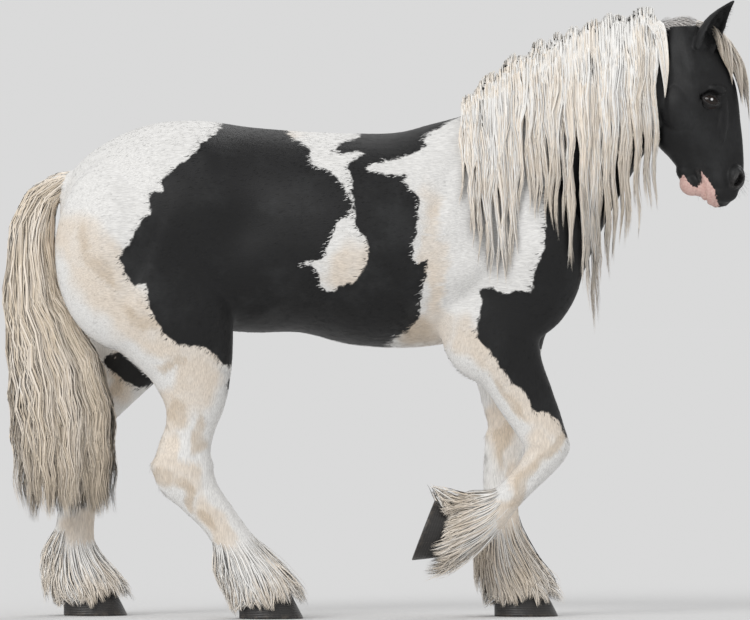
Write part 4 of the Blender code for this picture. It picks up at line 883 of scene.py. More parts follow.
# Last white lock of the mane, beside the cheek: middle line x, z and half width, on the drawn side
frontLock = {
    "count": 240, "steps": 11,
    "line": [
        (0.790, 1.715, 0.018), (0.800, 1.752, 0.020), (0.816, 1.742, 0.020), (0.830, 1.700, 0.017),
        (0.838, 1.650, 0.014), (0.843, 1.600, 0.010), (0.844, 1.560, 0.005), (0.843, 1.522, 0.0012),
    ],
}


def buildFrontLock(dice):
    # Strands along the lock's middle line, shifted by up to its half width, outside the skin
    count, steps = frontLock["count"], frontLock["steps"]
    rows = smoothRows(frontLock["line"], 60)
    reach = 1 - 0.30 * dice.uniform(0, 1, count) ** 1.5
    place = np.clip(reach[:, None] * np.linspace(0, 1, steps)[None], 0, 0.999) * 59
    row = between(rows, place)
    share = dice.uniform(-1, 1, count)[:, None]
    x, z = row[..., 0] + row[..., 2] * share, row[..., 1] + 0.004 * share
    t = place / 59
    layer = dice.uniform(0, 1, count)[:, None]
    hang = np.maximum(flank[-1](x, z), flank[-1](0.834, 1.680)) + 0.004 + 0.010 * layer * np.sin(np.pi * t)
    y = 0.002 + hang * blend(0.02, 0.34, t)
    paths = np.stack([x, -y, z], axis=-1)
    out = np.stack([0 * x, -0.15 - t, 1.0 * (t < 0.35) + 0 * x], axis=-1)
    shape = taper(steps)
    widths = dice.uniform(*mane["halfWidth"], count)[:, None] * shape
    fields = {"shade": dice.uniform(0, 1, count), "clump": np.round(share * 2) / 5 + 0.4,
        "warmth": -0.12 + 0 * share}
    makeLocks("frontLock", paths, unit(out), widths, mane["high"] * shape, fields, hairPaint)


tail = {
    "seed": 8, "count": 3700, "steps": 14, "halfWidth": (0.0016, 0.0034), "high": 0.0009, "clumps": 58,
    "startTo": 0.36, "wave": 0.0075, "dock": 0.036,
}


def buildTail():
    # Hair place = line + depth x u + width x v, each hair drawn to its clump down the tail
    dice = np.random.default_rng(tail["seed"])
    rows = smoothRows(tailLine, 240)
    way = unit(np.gradient(rows[:, :2], axis=0))
    count, steps, clumps = tail["count"], tail["steps"], tail["clumps"]
    turn = dice.uniform(0, 2 * np.pi, clumps)
    ring = np.sqrt(dice.uniform(0.30, 1.0, clumps))
    endShare = dice.uniform(0.955, 1.0, clumps)
    which = dice.integers(0, clumps, count)
    start = 0.02 + tail["startTo"] * dice.uniform(0, 1, count) ** 1.2
    end = endShare[which] - 0.10 * dice.uniform(0, 1, count) ** 2.5
    t = np.linspace(0, 1, steps)[None]
    share = start[:, None] + (end - start)[:, None] * t
    place = np.clip(share * 239, 0, 238.999)
    row = between(rows, place)
    heading = unit(between(way, place))
    u0, v0 = ring[which] * np.cos(turn[which]), ring[which] * np.sin(turn[which])
    angle, far = dice.uniform(0, 2 * np.pi, count), np.sqrt(dice.uniform(0.0, 1.0, count))
    uOwn, vOwn = far * np.cos(angle), far * np.sin(angle)
    # At the root a hair leaves the dock on its own side; further down it joins its clump
    uRoot, vRoot = (np.cos(turn[which] + dice.normal(0, 0.35, count)),
        np.sin(turn[which] + dice.normal(0, 0.35, count)))
    fan = blend(0.0, 0.30, t)
    loose = 0.26 * (1 - 0.62 * blend(0.45, 1.0, t))
    u = uRoot[:, None] * (1 - fan) + (u0[:, None] + loose * uOwn[:, None]) * fan
    v = vRoot[:, None] * (1 - fan) + (v0[:, None] + loose * vOwn[:, None]) * fan
    size = np.sqrt(u**2 + v**2)
    limit = np.where(size > 1, 1 / size, 1)
    u, v = u * limit, v * limit
    opened = blend(0.0, 0.22, t)
    deep = (tail["dock"] * (1 - opened) + row[..., 2] * opened) * (0.80 + 0.2 * opened)
    wide = (tail["dock"] * (1 - opened) + row[..., 3] * opened) * (0.80 + 0.2 * opened)
    phase = dice.uniform(0, 6.28, clumps)[which][:, None]
    wave = tail["wave"] * np.sin(phase + share * 52) * blend(0.1, 0.4, t)
    own = 0.002 * np.sin(dice.uniform(0, 6.28, count)[:, None] + share * 95) * t
    fore = deep * u + wave + own
    x = row[..., 0] - fore * -heading[..., 1]
    z = row[..., 1] + fore * -heading[..., 0]
    y = row[..., 4] + wide * v + 0.5 * tail["wave"] * np.cos(phase + share * 44) * blend(0.1, 0.4, t)
    paths = np.stack([x, y, np.maximum(z, 0.02)], axis=-1)
    out = np.stack([u * -heading[..., 1] * -1, v + 0 * u, -u * heading[..., 0]], axis=-1)
    out = unit(out + 0.3 * dice.normal(0, 1, (count, 1, 3)))
    shape = taper(steps, 0.2, 2.4)
    widths = dice.uniform(*tail["halfWidth"], count)[:, None] * shape
    fields = {"shade": dice.uniform(0, 1, count), "clump": (which * 0.618) % 1, "warmth": 0.15 + 0 * start}
    middle = count // 2
    for name, part in (("tailInner", slice(0, middle)), ("tailOuter", slice(middle, count))):
        makeLocks(name, paths[part], out[part], widths[part], tail["high"] * shape,
                  {k: f[part] for k, f in fields.items()}, hairPaint)


hoofSize = {"long": 0.192, "wide": 0.165, "toe": 0.088, "heel": 0.060, "narrow": 0.22}
feather = {
    "seed": 21, "count": 1750, "steps": 9, "halfWidth": (0.0013, 0.0027), "high": 0.0008, "clumps": 34,
    "margin": 0.012, "flare": 0.030, "toeFlick": 0.030, "heelFlick": (0.066, 0.024),
    # limb: hoof, station where the long hair begins, station of the fetlock, last station
    "legs": {
        "rightHind": ("right_hind_hoof", 10.7, 12.0, 13.6), "leftHind": ("left_hind_hoof", 10.7, 12.0, 13.6),
        "leftFore": ("left_front_hoof", 6.9, 8.0, 9.7), "rightFore": ("right_front_hoof", 7.9, 9.0, 10.7),
    },
}


def buildFeather(limb):
    # Cubic from root to tip: (1-t)^3 root + 3t(1-t)^2 first + 3t^2(1-t) second + t^3 end
    hoofName, first, fetlock, lastStation = feather["legs"][limb]
    dice = np.random.default_rng(feather["seed"] + len(limb) + limb.count("Hind") * 3)
    rows = np.array(limbs[limb])
    sole, up, toe = (np.array(values, float) for values in hooves[hoofName])
    up, toe = unit(up), unit(toe)
    side = np.cross(up, toe)
    count, steps = feather["count"], feather["steps"]
    # Stations: few high up at the back, most around the fetlock and pastern
    pick = dice.uniform(0, 1, count)
    high = pick < 0.30
    station = np.where(high, dice.uniform(first, fetlock, count),
        fetlock - 0.9 + (lastStation + 0.9 - fetlock) * dice.uniform(0, 1, count) ** 0.8)
    index = station.astype(int)
    part = (station - index)[:, None]
    row = rows[index] * (1 - part) + rows[np.minimum(index + 1, len(rows) - 1)] * part
    flow = rows[np.minimum(index + 1, len(rows) - 1)] - rows[index]
    way = unit(np.stack([flow[:, 0], 0 * flow[:, 0], flow[:, 1]], axis=1))
    fore = np.stack([-way[:, 2], 0 * way[:, 0], way[:, 0]], axis=1)
    fore = fore * np.sign((fore @ toe))[:, None]
    clumps = feather["clumps"]
    which = dice.integers(0, clumps, count)
    centreAngle = 2 * np.pi * (which + 0.5) / clumps
    angle = centreAngle + dice.normal(0, 0.55, count) * 2 * np.pi / clumps
    backAngle = np.pi + dice.normal(0, 0.42, count)
    angle = np.where(high, backAngle, angle)
    out = fore * np.cos(angle)[:, None] + np.array([0, 1, 0]) * np.sin(angle)[:, None] * np.sign(side[1])
    skinPlace = np.stack([row[:, 0], row[:, 4], row[:, 1]], axis=1)
    surface = skinPlace + fore * (np.cos(angle) * row[:, 2])[:, None]
    surface = surface + np.array([0, 1, 0]) * (np.sin(angle) * row[:, 3] * np.sign(side[1]))[:, None]
    root = skinPlace + (surface - skinPlace) * 0.90
    # End: on a bell round the hoof, low at the heel, a little higher at the toe
    target = np.where(high, np.pi + (angle - np.pi) * 0.8, centreAngle + (angle - centreAngle) * 0.35)
    clumpLow = dice.uniform(0.018, 0.052, clumps)[which]
    level = clumpLow + 0.016 * np.clip(np.cos(target), 0, 1) + dice.uniform(0, 1, count) ** 2 * 0.035
    level = np.where(high, level + dice.uniform(0.03, 0.16, count), level)
    shrink = 1 - hoofSize["narrow"] * np.clip(level / 0.075, 0, 1)
    margin = feather["margin"] + dice.uniform(0, 0.012, count)
    longAxis = hoofSize["long"] / 2 * shrink + margin
    wideAxis = hoofSize["wide"] / 2 * shrink + margin
    end = sole + up * level[:, None] + toe * (longAxis * np.cos(target) - 0.012)[:, None]
    end = end + side * (wideAxis * np.sin(target))[:, None]
    hang = dice.uniform(0.08, 0.14, count)[:, None]
    end = np.where(high[:, None], surface + out * 0.022 + way * hang * 0.75 - up * hang * 0.35, end)
    # Some hair flicks out past the toe, and past the heel of the raised foot
    flick = blend(0.55, 1.0, np.cos(target)) * dice.uniform(0, 1, count) ** 2 * ~high
    end = end + toe * (feather["toeFlick"] * flick)[:, None]
    if abs(up[2]) < 0.9:
        end[:, 2] -= dice.uniform(0.002, 0.022, count)
        heel = blend(0.45, 0.95, -np.cos(target)) * dice.uniform(0.1, 1, count) * ~high
        end = end - (up * feather["heelFlick"][0] + toe * feather["heelFlick"][1]) * heel[:, None]
    long = np.linalg.norm(end - surface, axis=1)[:, None]
    first = (surface + way * 0.32 * long + out * 0.007)[:, None]
    flare = feather["flare"] * (0.35 + 0.9 * dice.uniform(0, 1, count))
    second = (surface * 0.34 + end * 0.66 + out * flare[:, None])[:, None]
    t = np.linspace(0, 1, steps)[None, :, None]
    paths = (root[:, None] * (1 - t) ** 3 + 3 * first * t * (1 - t) ** 2 + 3 * second * t**2 * (1 - t)
        + end[:, None] * t**3)
    phase = dice.uniform(0, 6.28, clumps)[which][:, None, None]
    paths = paths + out[:, None] * (0.004 * np.sin(phase + 7 * t) * t)
    sideways = np.cross(out, way)[:, None]
    paths = paths + sideways * (0.005 * np.sin(phase * 1.7 + 8 * t) * t)
    paths[..., 2] = np.maximum(paths[..., 2], 0.0022)
    shape = taper(steps, 0.25, 2.0)
    widths = dice.uniform(*feather["halfWidth"], count)[:, None] * shape
    outs = unit(out + 0.25 * dice.normal(0, 1, (count, 3)))[:, None]
    fields = {"shade": dice.uniform(0, 1, count), "clump": (which * 0.618) % 1, "warmth": -0.06 + 0 * station}
    makeLocks("feather" + limb[0].upper() + limb[1:], paths, outs, widths, feather["high"] * shape, fields,
        hairPaint)


forelock = {
    "seed": 31, "count": 900, "tuft": 420, "steps": 12, "halfWidth": (0.0012, 0.0024), "high": 0.0007,
    # share of the way, face line x, z that the inner hair lies on, outer line x, z
    "line": [
        (0.00, 0.925, 1.708, 0.930, 1.713), (0.08, 0.942, 1.740, 0.940, 1.754),
        (0.18, 0.982, 1.708, 0.992, 1.740), (0.32, 1.016, 1.652, 1.041, 1.691),
        (0.48, 1.045, 1.600, 1.078, 1.632), (0.65, 1.059, 1.545, 1.092, 1.573),
        (0.82, 1.069, 1.496, 1.094, 1.514), (1.00, 1.091, 1.446, 1.095, 1.446),
    ],
    # locks: sideways place at the tip, reach along the line, depth between the two lines at the tip
    "locks": [
        (-0.052, 0.60, 0.0), (-0.036, 0.84, 0.4), (-0.018, 1.00, 1.0), (-0.002, 0.86, 0.5),
        (0.014, 0.97, 0.9), (0.032, 0.80, 0.3), (0.048, 0.62, 0.0),
    ],
    # top of the poll: x, z
    "poll": [(0.790, 1.728), (0.850, 1.738), (0.900, 1.742), (0.980, 1.744)],
}


def buildForelock():
    # Each hair runs between the face line and the outer line, and joins its lock toward the tip
    dice = np.random.default_rng(forelock["seed"])
    count, steps = forelock["count"], forelock["steps"]
    t = np.linspace(0, 1, steps)[None]
    sway, reach, depth = np.array(forelock["locks"]).T
    clump = dice.integers(0, len(sway), count)
    reach = reach[clump] * (1 - 0.42 * dice.uniform(0, 1, count) ** 1.6)
    share = reach[:, None] * t
    marks, faceX, faceZ, farX, farZ = zip(*forelock["line"])
    deep = dice.uniform(0, 1, count)[:, None]
    deep = deep * (1 - blend(0.45, 1.0, t)) + depth[clump][:, None] * blend(0.45, 1.0, t)
    x = np.interp(share, marks, faceX) * (1 - deep) + np.interp(share, marks, farX) * deep
    z = np.interp(share, marks, faceZ) * (1 - deep) + np.interp(share, marks, farZ) * deep
    y = (0.024 * dice.normal(0, 0.6, count).clip(-1, 1)[:, None] * (1 - 0.93 * t)
        + sway[clump][:, None] * blend(0.10, 0.8, t))
    y = y + 0.004 * np.sin(clump * 2.2 + 1.0)[:, None] * np.sin(9 * t)
    x = x - 5.0 * y**2 * blend(0.3, 1.0, t)
    paths = np.stack([x, y, z], axis=-1)
    out = unit(np.stack([0.9 + 0 * x, 12 * y, 1 - t + 0 * x], axis=-1))
    shape = taper(steps)
    widths = dice.uniform(*forelock["halfWidth"], count)[:, None] * shape
    fields = {"shade": dice.uniform(0, 1, count), "clump": clump / 7, "warmth": -0.04 + 0 * reach}
    makeLocks("forelock", paths, out, widths, forelock["high"] * shape, fields,
              hairPaint)
    # Grey leaf of hair that lies forward along the poll: roots on the last of the crest, tips by the ears;
    # its grey is painted shade on white mane hair
    count = forelock["tuft"]
    spot = dice.uniform(-1, 1, count)[:, None]
    rootX = dice.uniform(0.800, 0.870, count)[:, None]
    long = dice.uniform(0.06, 0.115, count)[:, None] * (1 - 0.35 * np.abs(spot))
    x = rootX + long * t
    rise = 0.030 * np.sin(np.pi * t**1.3) * dice.uniform(0.1, 1.0, count)[:, None]
    z = (np.interp(x, *zip(*forelock["poll"])) + rise - 0.030 * np.abs(spot) * blend(0.0, 0.8, t)
        - 0.012 * (1 - t) ** 2)
    y = spot * (0.016 + 0.030 * t) + 0.003 * dice.normal(0, 1, count)[:, None] * t
    paths = np.stack([x, y, z], axis=-1)
    out = np.stack([0 * x, spot + 0 * x, 1 + 0 * x], axis=-1)
    widths = dice.uniform(*forelock["halfWidth"], count)[:, None] * shape
    # The grey field paints shade on the tuft's white hair
    fields = {"shade": dice.uniform(0, 1, count), "clump": dice.uniform(0, 1, count),
        "grey": 0.8 * np.ones(count)}
    makeLocks("pollTuft", paths, unit(out), widths, forelock["high"] * shape, fields,
              hairPaint)


# Markings: outlines of the black patches in the side view, metres, for the drawn side and the far side
patches = {
    "flank": [
        (-0.412, 1.483), (-0.456, 1.439), (-0.505, 1.395), (-0.541, 1.354), (-0.605, 1.304), (-0.626, 1.277),
        (-0.626, 1.245), (-0.646, 1.251), (-0.667, 1.225), (-0.664, 1.187), (-0.684, 1.172), (-0.708, 1.119),
        (-0.752, 1.058), (-0.737, 1.025), (-0.713, 0.976), (-0.672, 0.973), (-0.664, 0.923), (-0.652, 0.885),
        (-0.628, 0.850), (-0.590, 0.806), (-0.497, 0.791), (-0.456, 0.747), (-0.420, 0.732), (-0.409, 0.653),
        (0.040, 0.653), (0.040, 0.800), (0.081, 0.838), (0.119, 0.873), (0.127, 0.943), (0.151, 1.043),
        (0.116, 1.037), (0.107, 1.084), (0.119, 1.190), (0.116, 1.239), (0.072, 1.275), (0.086, 1.295),
        (0.022, 1.298), (-0.048, 1.316), (-0.089, 1.324), (-0.075, 1.289), (-0.069, 1.225), (-0.060, 1.149),
        (-0.034, 1.113), (-0.028, 1.061), (-0.057, 0.996), (-0.110, 0.967), (-0.154, 0.955), (-0.177, 1.020),
        (-0.221, 1.037), (-0.163, 1.049), (-0.142, 1.090), (-0.125, 1.137), (-0.101, 1.169), (-0.075, 1.184),
        (-0.081, 1.231), (-0.110, 1.283), (-0.154, 1.310), (-0.192, 1.319), (-0.195, 1.365), (-0.218, 1.392),
        (-0.262, 1.418), (-0.268, 1.483),
    ],
    "withers": [
        (-0.125, 1.362), (-0.098, 1.392), (-0.051, 1.409), (-0.045, 1.483), (0.183, 1.541), (0.271, 1.565),
        (0.236, 1.483), (0.198, 1.444), (0.154, 1.421), (0.130, 1.401), (0.145, 1.380), (0.066, 1.348),
        (0.001, 1.330), (-0.048, 1.313), (-0.092, 1.319), (-0.040, 1.360),
    ],
    "chest": [
        (0.300, 0.952), (0.324, 0.970), (0.365, 0.955), (0.406, 0.955), (0.450, 0.961), (0.461, 1.020),
        (0.491, 1.108), (0.497, 1.298), (0.579, 1.459), (0.769, 1.635), (0.945, 1.987), (1.384, 1.987),
        (1.384, 0.844), (0.652, 0.785), (0.652, 0.530), (0.558, 0.530), (0.529, 0.577), (0.491, 0.601),
        (0.456, 0.612), (0.432, 0.659), (0.385, 0.700), (0.335, 0.771), (0.294, 0.820), (0.292, 0.867),
        (0.306, 0.914),
    ],
    "flankFar": [
        (-0.520, 1.494), (-0.233, 1.494), (-0.221, 1.383), (-0.163, 1.283), (-0.139, 1.143), (-0.192, 1.049),
        (-0.133, 0.932), (-0.163, 0.779), (-0.139, 0.653), (-0.374, 0.653), (-0.426, 0.779), (-0.502, 0.844),
        (-0.526, 0.955), (-0.608, 1.037), (-0.587, 1.149), (-0.637, 1.236), (-0.579, 1.342), (-0.538, 1.406),
    ],
    "withersFar": [
        (-0.116, 1.483), (0.271, 1.565), (0.283, 1.401), (0.230, 1.307), (0.271, 1.184), (0.233, 1.043),
        (0.160, 0.955), (0.072, 0.984), (0.019, 1.108), (0.048, 1.219), (-0.040, 1.272), (-0.104, 1.342),
    ],
    "chestFar": [
        (0.374, 0.932), (0.447, 0.984), (0.500, 1.131), (0.523, 1.289), (0.623, 1.465), (0.769, 1.635),
        (0.945, 1.987), (1.384, 1.987), (1.384, 0.800), (0.535, 0.779), (0.476, 0.844), (0.418, 0.867),
    ],
    "gaskinFar": [
        (-0.813, 0.750), (-0.763, 0.779), (-0.696, 0.803), (-0.602, 0.779), (-0.614, 0.715), (-0.667, 0.680),
        (-0.731, 0.686),
    ],
}


def insideDistance(points, outline):
    # Distance to a closed outline in the side view, positive inside it (even number of crossings is outside)
    start = np.array(outline)
    end = np.roll(start, -1, axis=0)
    px, pz = points[:, 0][:, None], points[:, 2][:, None]
    crossing = (start[:, 1] > pz) != (end[:, 1] > pz)
    rise = np.where(end[:, 1] == start[:, 1], 1e-9, end[:, 1] - start[:, 1])
    meet = start[:, 0] + (pz - start[:, 1]) / rise * (end[:, 0] - start[:, 0])
    inside = (crossing & (px < meet)).sum(axis=1) % 2 == 1
    gap, _ = polyDistance(points[:, [0, 2]], np.concatenate([start, start[:1]]))
    return np.where(inside, gap, -gap)


def rounded(outline, parts=4):
    # Closed curve through the outline's points (Catmull-Rom), each span cut in equal parts
    p1 = np.array(outline)
    p0, p2, p3 = np.roll(p1, 1, axis=0), np.roll(p1, -1, axis=0), np.roll(p1, -2, axis=0)
    t = (np.arange(parts) / parts)[None, :, None]
    p0, p1, p2, p3 = p0[:, None], p1[:, None], p2[:, None], p3[:, None]
    curve = p1 + 0.5 * t * (p2 - p0 + t * (2 * p0 - 5 * p1 + 4 * p2 - p3 + t * (3 * (p1 - p2) + p3 - p0)))
    return curve.reshape(-1, 2)


patches = {name: rounded(outline) for name, outline in patches.items()}
# height, waves per radian along X, Y, Z
ragged = {"broad": (0.0045, 61, 47, 83), "fine": (0.0030, 173, 149, 211)}


def markAt(points):
    # Black where positive: the larger of the patches' distances, near and far side blended at the middle,
    # plus waves sin(ax + 2 sin(bz)) sin(cz + 2 sin(ay)) that make the edges ragged
    side = blend(-0.05, 0.05, points[:, 1])
    below = blend(0.98, 0.90, points[:, 2]) * (points[:, 0] > 0.0) * (points[:, 0] < 0.6)
    side = side * (1 - below) + (points[:, 1] > 0) * below
    near, far = np.zeros(len(points)), np.zeros(len(points))
    mine, theirs = side < 1, side > 0
    near[mine] = np.max([insideDistance(points[mine], patches[key])
        for key in ("flank", "withers", "chest")], axis=0)
    names = ("flankFar", "withersFar", "chestFar", "gaskinFar")
    far[theirs] = np.max([insideDistance(points[theirs], patches[key]) for key in names], axis=0)
    x, y, z = points.T
    waves = sum(h * np.sin(a * x + 2 * np.sin(b * z)) * np.sin(c * z + 2 * np.sin(a * y))
        for h, a, b, c in ragged.values())
    return near * (1 - side) + far * side + waves


def inChunks(work, *arrays, size=20000):
    # The same work on slices of the arrays, which keeps its memory small
    starts = range(0, len(arrays[0]), size)
    return np.concatenate([work(*(array[i:i + size] for array in arrays)) for i in starts])


def newPaint(name):
    # A material, its node tree and its shader
    paint = bpy.data.materials.new(name)
    paint.use_nodes = True
    return paint, paint.node_tree, paint.node_tree.nodes["Principled BSDF"]


def setInputs(tree, node, inputs):
    # Each input is linked to a socket or set to a value
    for key, value in inputs.items():
        if isinstance(value, bpy.types.NodeSocket):
            tree.links.new(value, node.inputs[key])
        else:
            node.inputs[key].default_value = value


def addNode(tree, kind, inputs=None, **settings):
    # A node with its inputs linked or set
    node = tree.nodes.new(kind)
    for key, value in settings.items():
        setattr(node, key, value)
    setInputs(tree, node, inputs or {})
    return node


def field(tree, name):
    # The value kept at the points under this name
    return addNode(tree, "ShaderNodeAttribute", attribute_name=name).outputs["Fac"]


def spread(tree, value, low, high, toLow=0.0, toHigh=1.0, smooth=True):
    # A value carried from one range to another
    node = addNode(tree, "ShaderNodeMapRange", {0: value, 1: low, 2: high, 3: toLow, 4: toHigh})
    node.interpolation_type = "SMOOTHSTEP" if smooth else "LINEAR"
    return node.outputs[0]


def mixed(tree, share, a, b, kind="MIX"):
    # Colour a to b by share
    node = addNode(tree, "ShaderNodeMix", data_type="RGBA", blend_type=kind)
    setInputs(tree, node, {0: share, 6: a, 7: b})
    return node.outputs[2]


def maths(tree, operation, a, b=0.0):
    # One operation on two values
    return addNode(tree, "ShaderNodeMath", {0: a, 1: b}, operation=operation).outputs[0]


def plus(tree, a, b):
    return maths(tree, "ADD", a, b)


def minus(tree, a, b):
    return maths(tree, "SUBTRACT", a, b)


def times(tree, a, b):
    return maths(tree, "MULTIPLY", a, b)


def tinted(tree, colour, grey):
    # Colour x a grey made of one value
    tint = addNode(tree, "ShaderNodeCombineColor", {0: grey, 1: grey, 2: grey}).outputs[0]
    return mixed(tree, 1.0, colour, tint, "MULTIPLY")


def noise(tree, place, scale, detail=4.0, rough=0.55, stretch=(1, 1, 1), turn=(0, 0, 0)):
    # Noise at a place that is stretched and turned first
    if tuple(stretch) != (1, 1, 1) or tuple(turn) != (0, 0, 0):
        place = addNode(tree, "ShaderNodeMapping",
            {"Vector": place, "Rotation": turn, "Scale": stretch}).outputs[0]
    return addNode(tree, "ShaderNodeTexNoise", {
        "Vector": place, "Scale": scale, "Detail": detail, "Roughness": rough,
    }).outputs["Fac"]


tones = {  # linear colours
    "black": (0.0095, 0.0095, 0.010, 1), "blackPaintedSheen": (0.034, 0.035, 0.036, 1),
    "white": (0.84, 0.83, 0.81, 1),
    "cream": (0.80, 0.70, 0.59, 1), "beigeToneAndShade": (0.62, 0.51, 0.39, 1), "pink": (0.66, 0.42, 0.38, 1),
    "hairWhite": (0.95, 0.935, 0.905, 1), "hairCream": (0.93, 0.83, 0.71, 1),
    "hairBeige": (0.76, 0.64, 0.49, 1),
    "grey": (0.58, 0.56, 0.55, 1), "horn": (0.022, 0.020, 0.019, 1), "hornPale": (0.11, 0.090, 0.070, 1),
}
coat = {"edgeNoise": 0.010, "edgeSoft": 0.0035, "bump": 0.0009}


def coatColour(tree, mark, place):
    # White coat with cream and beige clouds, partly its own tone and partly painted shade, black where the
    # mark is positive, with painted sheen on the black
    # Cream and beige clouds, partly the coat's own tone and partly painted shade
    cloud = spread(tree, noise(tree, place, 9.0, 4, 0.6), 0.35, 0.60, 0.70, 1.0)
    cream = times(tree, times(tree, field(tree, "cream"), cloud), 0.90)
    white = mixed(tree, cream, tones["white"], tones["cream"])
    beigeToneAndShade = times(tree, times(tree, field(tree, "beigeToneAndShade"), cloud), 0.75)
    white = mixed(tree, beigeToneAndShade, white, tones["beigeToneAndShade"])
    # Painted sheen: lighter noise patches on the black coat stand in for its highlights
    paintedSheen = spread(tree, noise(tree, place, 6.0, 4, 0.6), 0.48, 0.72)
    black = mixed(tree, times(tree, paintedSheen, 0.55), tones["black"], tones["blackPaintedSheen"])
    return mixed(tree, mark, white, black)


def makeSkinPaint():
    # Coat colour x hair streaks, then pink and bare skin, with a bump of streaks and pores
    paint, tree, shader = newPaint("coatPaint")
    place = addNode(tree, "ShaderNodeTexCoord").outputs["Object"]
    fine = noise(tree, place, 60, 5, 0.65)
    ragged = times(tree, minus(tree, fine, 0.5), coat["edgeNoise"] * 2)
    mark = spread(tree, plus(tree, field(tree, "mark"), ragged), -coat["edgeSoft"], coat["edgeSoft"])
    colour = coatColour(tree, mark, place)
    # Hair streaks: noise drawn out along each region's lie
    flows = [
        noise(tree, place, 1, 3, 0.6, (45, 420, 420), (0, 0.25, 0)),
        noise(tree, place, 1, 3, 0.6, (420, 420, 45), (0, 0, 0)),
        noise(tree, place, 1, 3, 0.6, (420, 420, 60), (0, -0.42, 0)),
    ]
    down, face = field(tree, "down"), field(tree, "face")
    streak = plus(tree, times(tree, flows[0], minus(tree, 1.0, down)),
                   times(tree, flows[1], down))
    streak = plus(tree, times(tree, streak, minus(tree, 1.0, face)),
                   times(tree, flows[2], face))
    tint = spread(tree, streak, 0.3, 0.75, 0.80, 1.10)
    colour = tinted(tree, colour, tint)
    skinTint = mixed(tree, spread(tree, noise(tree, place, 160, 3), 0.4, 0.62), tones["pink"],
        (0.74, 0.52, 0.46, 1))
    freckles = times(tree, minus(tree, noise(tree, place, 210, 3, 0.6), 0.5), 1.1)
    pink = spread(tree, plus(tree, field(tree, "pink"), freckles), 0.36, 0.62)
    colour = mixed(tree, pink, colour, skinTint)
    bare = mixed(tree, spread(tree, noise(tree, place, 240, 2), 0.35, 0.7), (0.014, 0.013, 0.013, 1),
        (0.045, 0.042, 0.041, 1))
    colour = mixed(tree, field(tree, "bare"), colour, bare)
    setInputs(tree, shader, {"Base Color": colour})
    rough = spread(tree, field(tree, "bare"), 0, 1, 0.52, 0.38)
    setInputs(tree, shader, {
        "Roughness": rough, "Specular IOR Level": 0.30, "Sheen Weight": 0.03, "Sheen Roughness": 0.4,
    })
    pores = noise(tree, place, 420, 2, 0.6)
    height = plus(tree, times(tree, streak, 0.9), times(tree, pores, 0.35))
    bump = addNode(tree, "ShaderNodeBump", {"Strength": 0.55, "Distance": coat["bump"], "Height": height})
    setInputs(tree, shader, {"Normal": bump.outputs[0]})
    return paint


def makeFurPaint():
    # Coat colour x each tuft's own shade
    paint, tree, shader = newPaint("furPaint")
    place = addNode(tree, "ShaderNodeTexCoord").outputs["Object"]
    mark = spread(tree, field(tree, "mark"), -0.0005, 0.0005)
    colour = coatColour(tree, mark, place)
    tint = spread(tree, field(tree, "shade"), 0, 1, 0.92, 1.08, False)
    colour = tinted(tree, colour, tint)
    setInputs(tree, shader, {
        "Base Color": colour, "Roughness": 0.5, "Specular IOR Level": 0.28, "Sheen Weight": 0.03,
    })
    return paint


def makeHairPaint():
    # Long hair: white, cream and beige strands, warmer toward the tips, with fine streaks along it, and grey
    # painted shade where the grey field is set
    paint, tree, shader = newPaint("hairPaint")
    place = addNode(tree, "ShaderNodeTexCoord").outputs["Object"]
    shade, clump, along = field(tree, "shade"), field(tree, "clump"), field(tree, "along")
    clouds = noise(tree, place, 7.5, 3, 0.6, (1, 1, 0.55))
    warm = plus(tree, times(tree, along, 0.22), times(tree, clouds, 0.75))
    warm = plus(tree, warm, times(tree, shade, 0.28))
    warm = plus(tree, warm, field(tree, "warmth"))
    colour = mixed(tree, spread(tree, warm, 0.40, 0.66), tones["hairWhite"], tones["hairCream"])
    colour = mixed(tree, times(tree, spread(tree, warm, 0.66, 0.92), 0.85), colour, tones["hairBeige"])
    dark = spread(tree, maths(tree, "FRACT", times(tree, plus(tree, shade, clump), 7.3)), 0, 1, 0.90, 1.05,
        False)
    colour = tinted(tree, colour, dark)
    # Painted shade: hair with the grey field set is mixed toward grey
    colour = mixed(tree, field(tree, "grey"), colour, tones["grey"])
    setInputs(tree, shader, {
        "Base Color": colour, "Roughness": 0.42, "Specular IOR Level": 0.5, "Sheen Weight": 0.1,
    })
    streaks = noise(tree, place, 1, 2, 0.5, (700, 700, 30))
    bump = addNode(tree, "ShaderNodeBump", {"Strength": 0.25, "Distance": 0.0006, "Height": streaks})
    setInputs(tree, shader, {"Normal": bump.outputs[0]})
    return paint


coatPaint, furPaint, hairPaint = makeSkinPaint(), makeFurPaint(), makeHairPaint()
